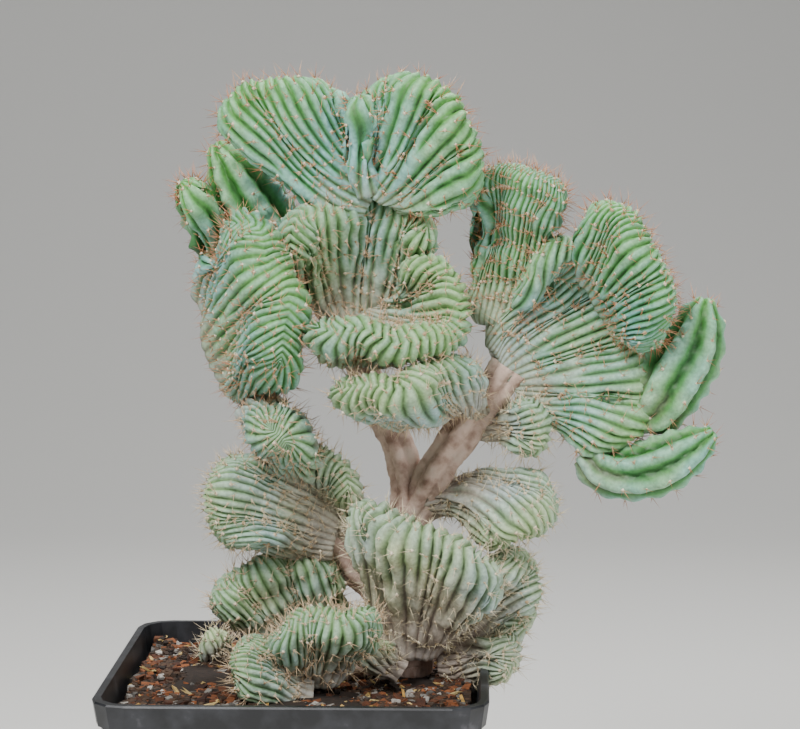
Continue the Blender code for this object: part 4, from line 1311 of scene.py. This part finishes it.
PEAT = LooseMatter("peat", ("#2c1f16", "#4a3423"))
CRUMB = LooseMatter("peat_crumb", ("#1f1610", "#5a4230"))
BARK = LooseMatter("pine_bark", ("#33190f", "#9a5a30"))
PUMICE = LooseMatter("pumice", ("#4f4b47", "#c4bdb3"), 1.0)
STRAW = LooseMatter("straw", ("#b58a45", "#e6cd8e"))


@dataclass(frozen=True)
class Litter:
    """One kind of loose bit: how many there are, its half length, its shape as shares of that, its matter."""

    name: str
    count: int
    sizes: tuple[float, float]
    shape: tuple[float, float, float]
    matter: LooseMatter


@dataclass
class Pot:
    """The nursery pot and the potting mix, which keep their CAD solids, and what lies loose on the mix."""

    nodes: dict[str, Any]
    top: float = 112.5
    rough: float = 1.3
    half: float = 58.0
    edge: float = 1.0
    ragged: tuple[float, float] = (0.55, 1.0)
    tipped: float = 0.3
    bedded: float = 0.4
    litter: tuple[Litter, ...] = (
        Litter("peat_crumbs", 5200, (0.6, 1.6), (1, 0.9, 0.8), CRUMB),
        Litter("bark_chips", 1100, (1.2, 3.6), (1, 0.6, 0.35), BARK),
        Litter("pumice_grit", 620, (0.7, 1.9), (1, 0.85, 0.75), PUMICE),
        Litter("straw_bits", 330, (3.0, 7.0), (1, 0.1, 0.07), STRAW),
    )

    def height(self, x: np.ndarray, y: np.ndarray) -> np.ndarray:
        """The height of the potting mix at each place."""
        swell = np.sin(x * 0.09 + 1.3) * np.cos(y * 0.11) + 0.6 * np.sin(x * 0.27 + y * 0.19)
        return self.top + self.rough * swell

    def scatter(self, kind: Litter, seed: int) -> None:
        """Strews rough little blocks over the potting mix.

        Args:
            kind: The kind of bit.
            seed: The seed of its random numbers.
        """
        draw = np.random.default_rng(SEED + seed)
        count, shape = kind.count, kind.shape
        x, y = draw.uniform(-self.half, self.half, (2, count))
        size = draw.uniform(*kind.sizes, count)
        corners = np.array([(a, b, c) for a in (-1, 1) for b in (-1, 1) for c in (-1, 1)], float)
        ragged = draw.uniform(*self.ragged, (count, 8, 3))
        bits = corners[None] * ragged * np.array(shape) * size[:, None, None]
        turn, tip = draw.uniform(0, 2 * pi, count)[:, None], draw.normal(0, self.tipped, count)[:, None]
        lift = bits[..., 0] * np.sin(tip) + bits[..., 2] * np.cos(tip)
        flat = bits[..., 0] * np.cos(tip) - bits[..., 2] * np.sin(tip)
        px = x[:, None] + flat * np.cos(turn) - bits[..., 1] * np.sin(turn)
        py = y[:, None] + flat * np.sin(turn) + bits[..., 1] * np.cos(turn)
        pz = self.height(x, y)[:, None] + lift + size[:, None] * shape[2] * self.bedded
        limit = self.half + self.edge
        points = np.stack([np.clip(px, -limit, limit), np.clip(py, -limit, limit), pz], -1).reshape(-1, 3)
        block = np.array([(0, 1, 3, 2), (4, 6, 7, 5), (0, 4, 5, 1), (2, 3, 7, 6), (0, 2, 6, 4), (1, 5, 7, 3)])
        faces = (np.arange(count)[:, None, None] * 8 + block).reshape(-1, 4)
        tone = np.repeat(draw.uniform(0, 1, count), 8)
        piece = make_piece(kind.name, points, faces.tolist(), [kind.matter.build()], {"tone": tone})
        piece.data.shade_flat()

    def build(self) -> None:
        """Dresses the pot and the mix, and strews the loose bits."""
        for node, finish in (("pot", MouldedPlastic()), ("soil", PEAT)):
            self.nodes[node].data.materials.clear()
            self.nodes[node].data.materials.append(finish.build())
        for number, kind in enumerate(self.litter, 1):
            self.scatter(kind, number)


def place_camera() -> None:
    """Sets the photograph's camera."""
    data = bpy.data.cameras.new("photo_camera")
    data.sensor_width, data.lens, data.clip_start = SENSOR_WIDTH, FOCAL_LENGTH, 0.01
    camera = add_object("photo_camera", data)
    camera.location = Vector(EYE) * MM
    camera.rotation_euler = (radians(90 - EYE_DOWN), radians(EYE_ROLL), radians(-EYE_TURN))
    bpy.context.scene.camera = camera


def add_light(name: str, place: tuple[float, float, float], size: float, power: float) -> None:
    """Adds a soft square light that faces the plant.

    Args:
        name: Its name.
        place: Where it hangs, in metres.
        size: The length of its side, in metres.
        power: Its power in watts.
    """
    data = bpy.data.lights.new(name, "AREA")
    data.size, data.energy = size, power
    light = add_object(name, data)
    light.location = place
    light.rotation_euler = (Vector(LIT_POINT) - Vector(place)).to_track_quat("-Z", "Y").to_euler()


def build_studio() -> None:
    """A plain pale floor and soft studio light."""
    mesh = bpy.data.meshes.new("studio_floor")
    reach, back, bend, steps = 4.0, 0.9, 0.8, 12
    turns = [step / steps * pi / 2 for step in range(steps + 1)]
    cove = [(back + bend * sin(turn), bend * (1 - cos(turn))) for turn in turns]
    profile = [(-reach, 0.0), *cove, (back + bend, reach)]
    points = [(side, y, z) for y, z in profile for side in (-reach, reach)]
    faces = [(2 * k, 2 * k + 1, 2 * k + 3, 2 * k + 2) for k in range(len(profile) - 1)]
    mesh.from_pydata(points, [], faces)
    mesh.shade_smooth()
    made, _, shader = new_material("studio_paper")
    shader.inputs["Base Color"].default_value = linear("#d9d8d4")
    shader.inputs["Roughness"].default_value = 0.9
    mesh.materials.append(made)
    floor = add_object("studio_floor", mesh)
    add_light("key_softbox", (-0.35, -0.7, 1.0), 0.4, 19.0)
    add_light("fill_softbox", (0.8, -0.55, 0.45), 0.5, 5.0)
    add_light("top_softbox", (0.25, 0.3, 1.0), 0.5, 9.0)
    world = bpy.data.worlds.new("studio_air")
    world.use_nodes = True
    air = world.node_tree.nodes["Background"]
    air.inputs[0].default_value = linear("#c9ccd0")
    air.inputs[1].default_value = 0.3
    bpy.context.scene.world = world


def main() -> None:
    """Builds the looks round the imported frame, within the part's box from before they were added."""
    logging.basicConfig(level=logging.INFO, format="%(message)s")
    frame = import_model()
    before = [list(corner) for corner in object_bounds()]
    box = (np.array(before[0]) / MM + BOX_INSET, np.array(before[1]) / MM - BOX_INSET)
    Pot(frame["nodes"]).build()
    Trunk(TRUNK).build()
    Stems(STEMS, box).build()
    build_studio()
    place_camera()


if __name__ == "__main__":
    main()
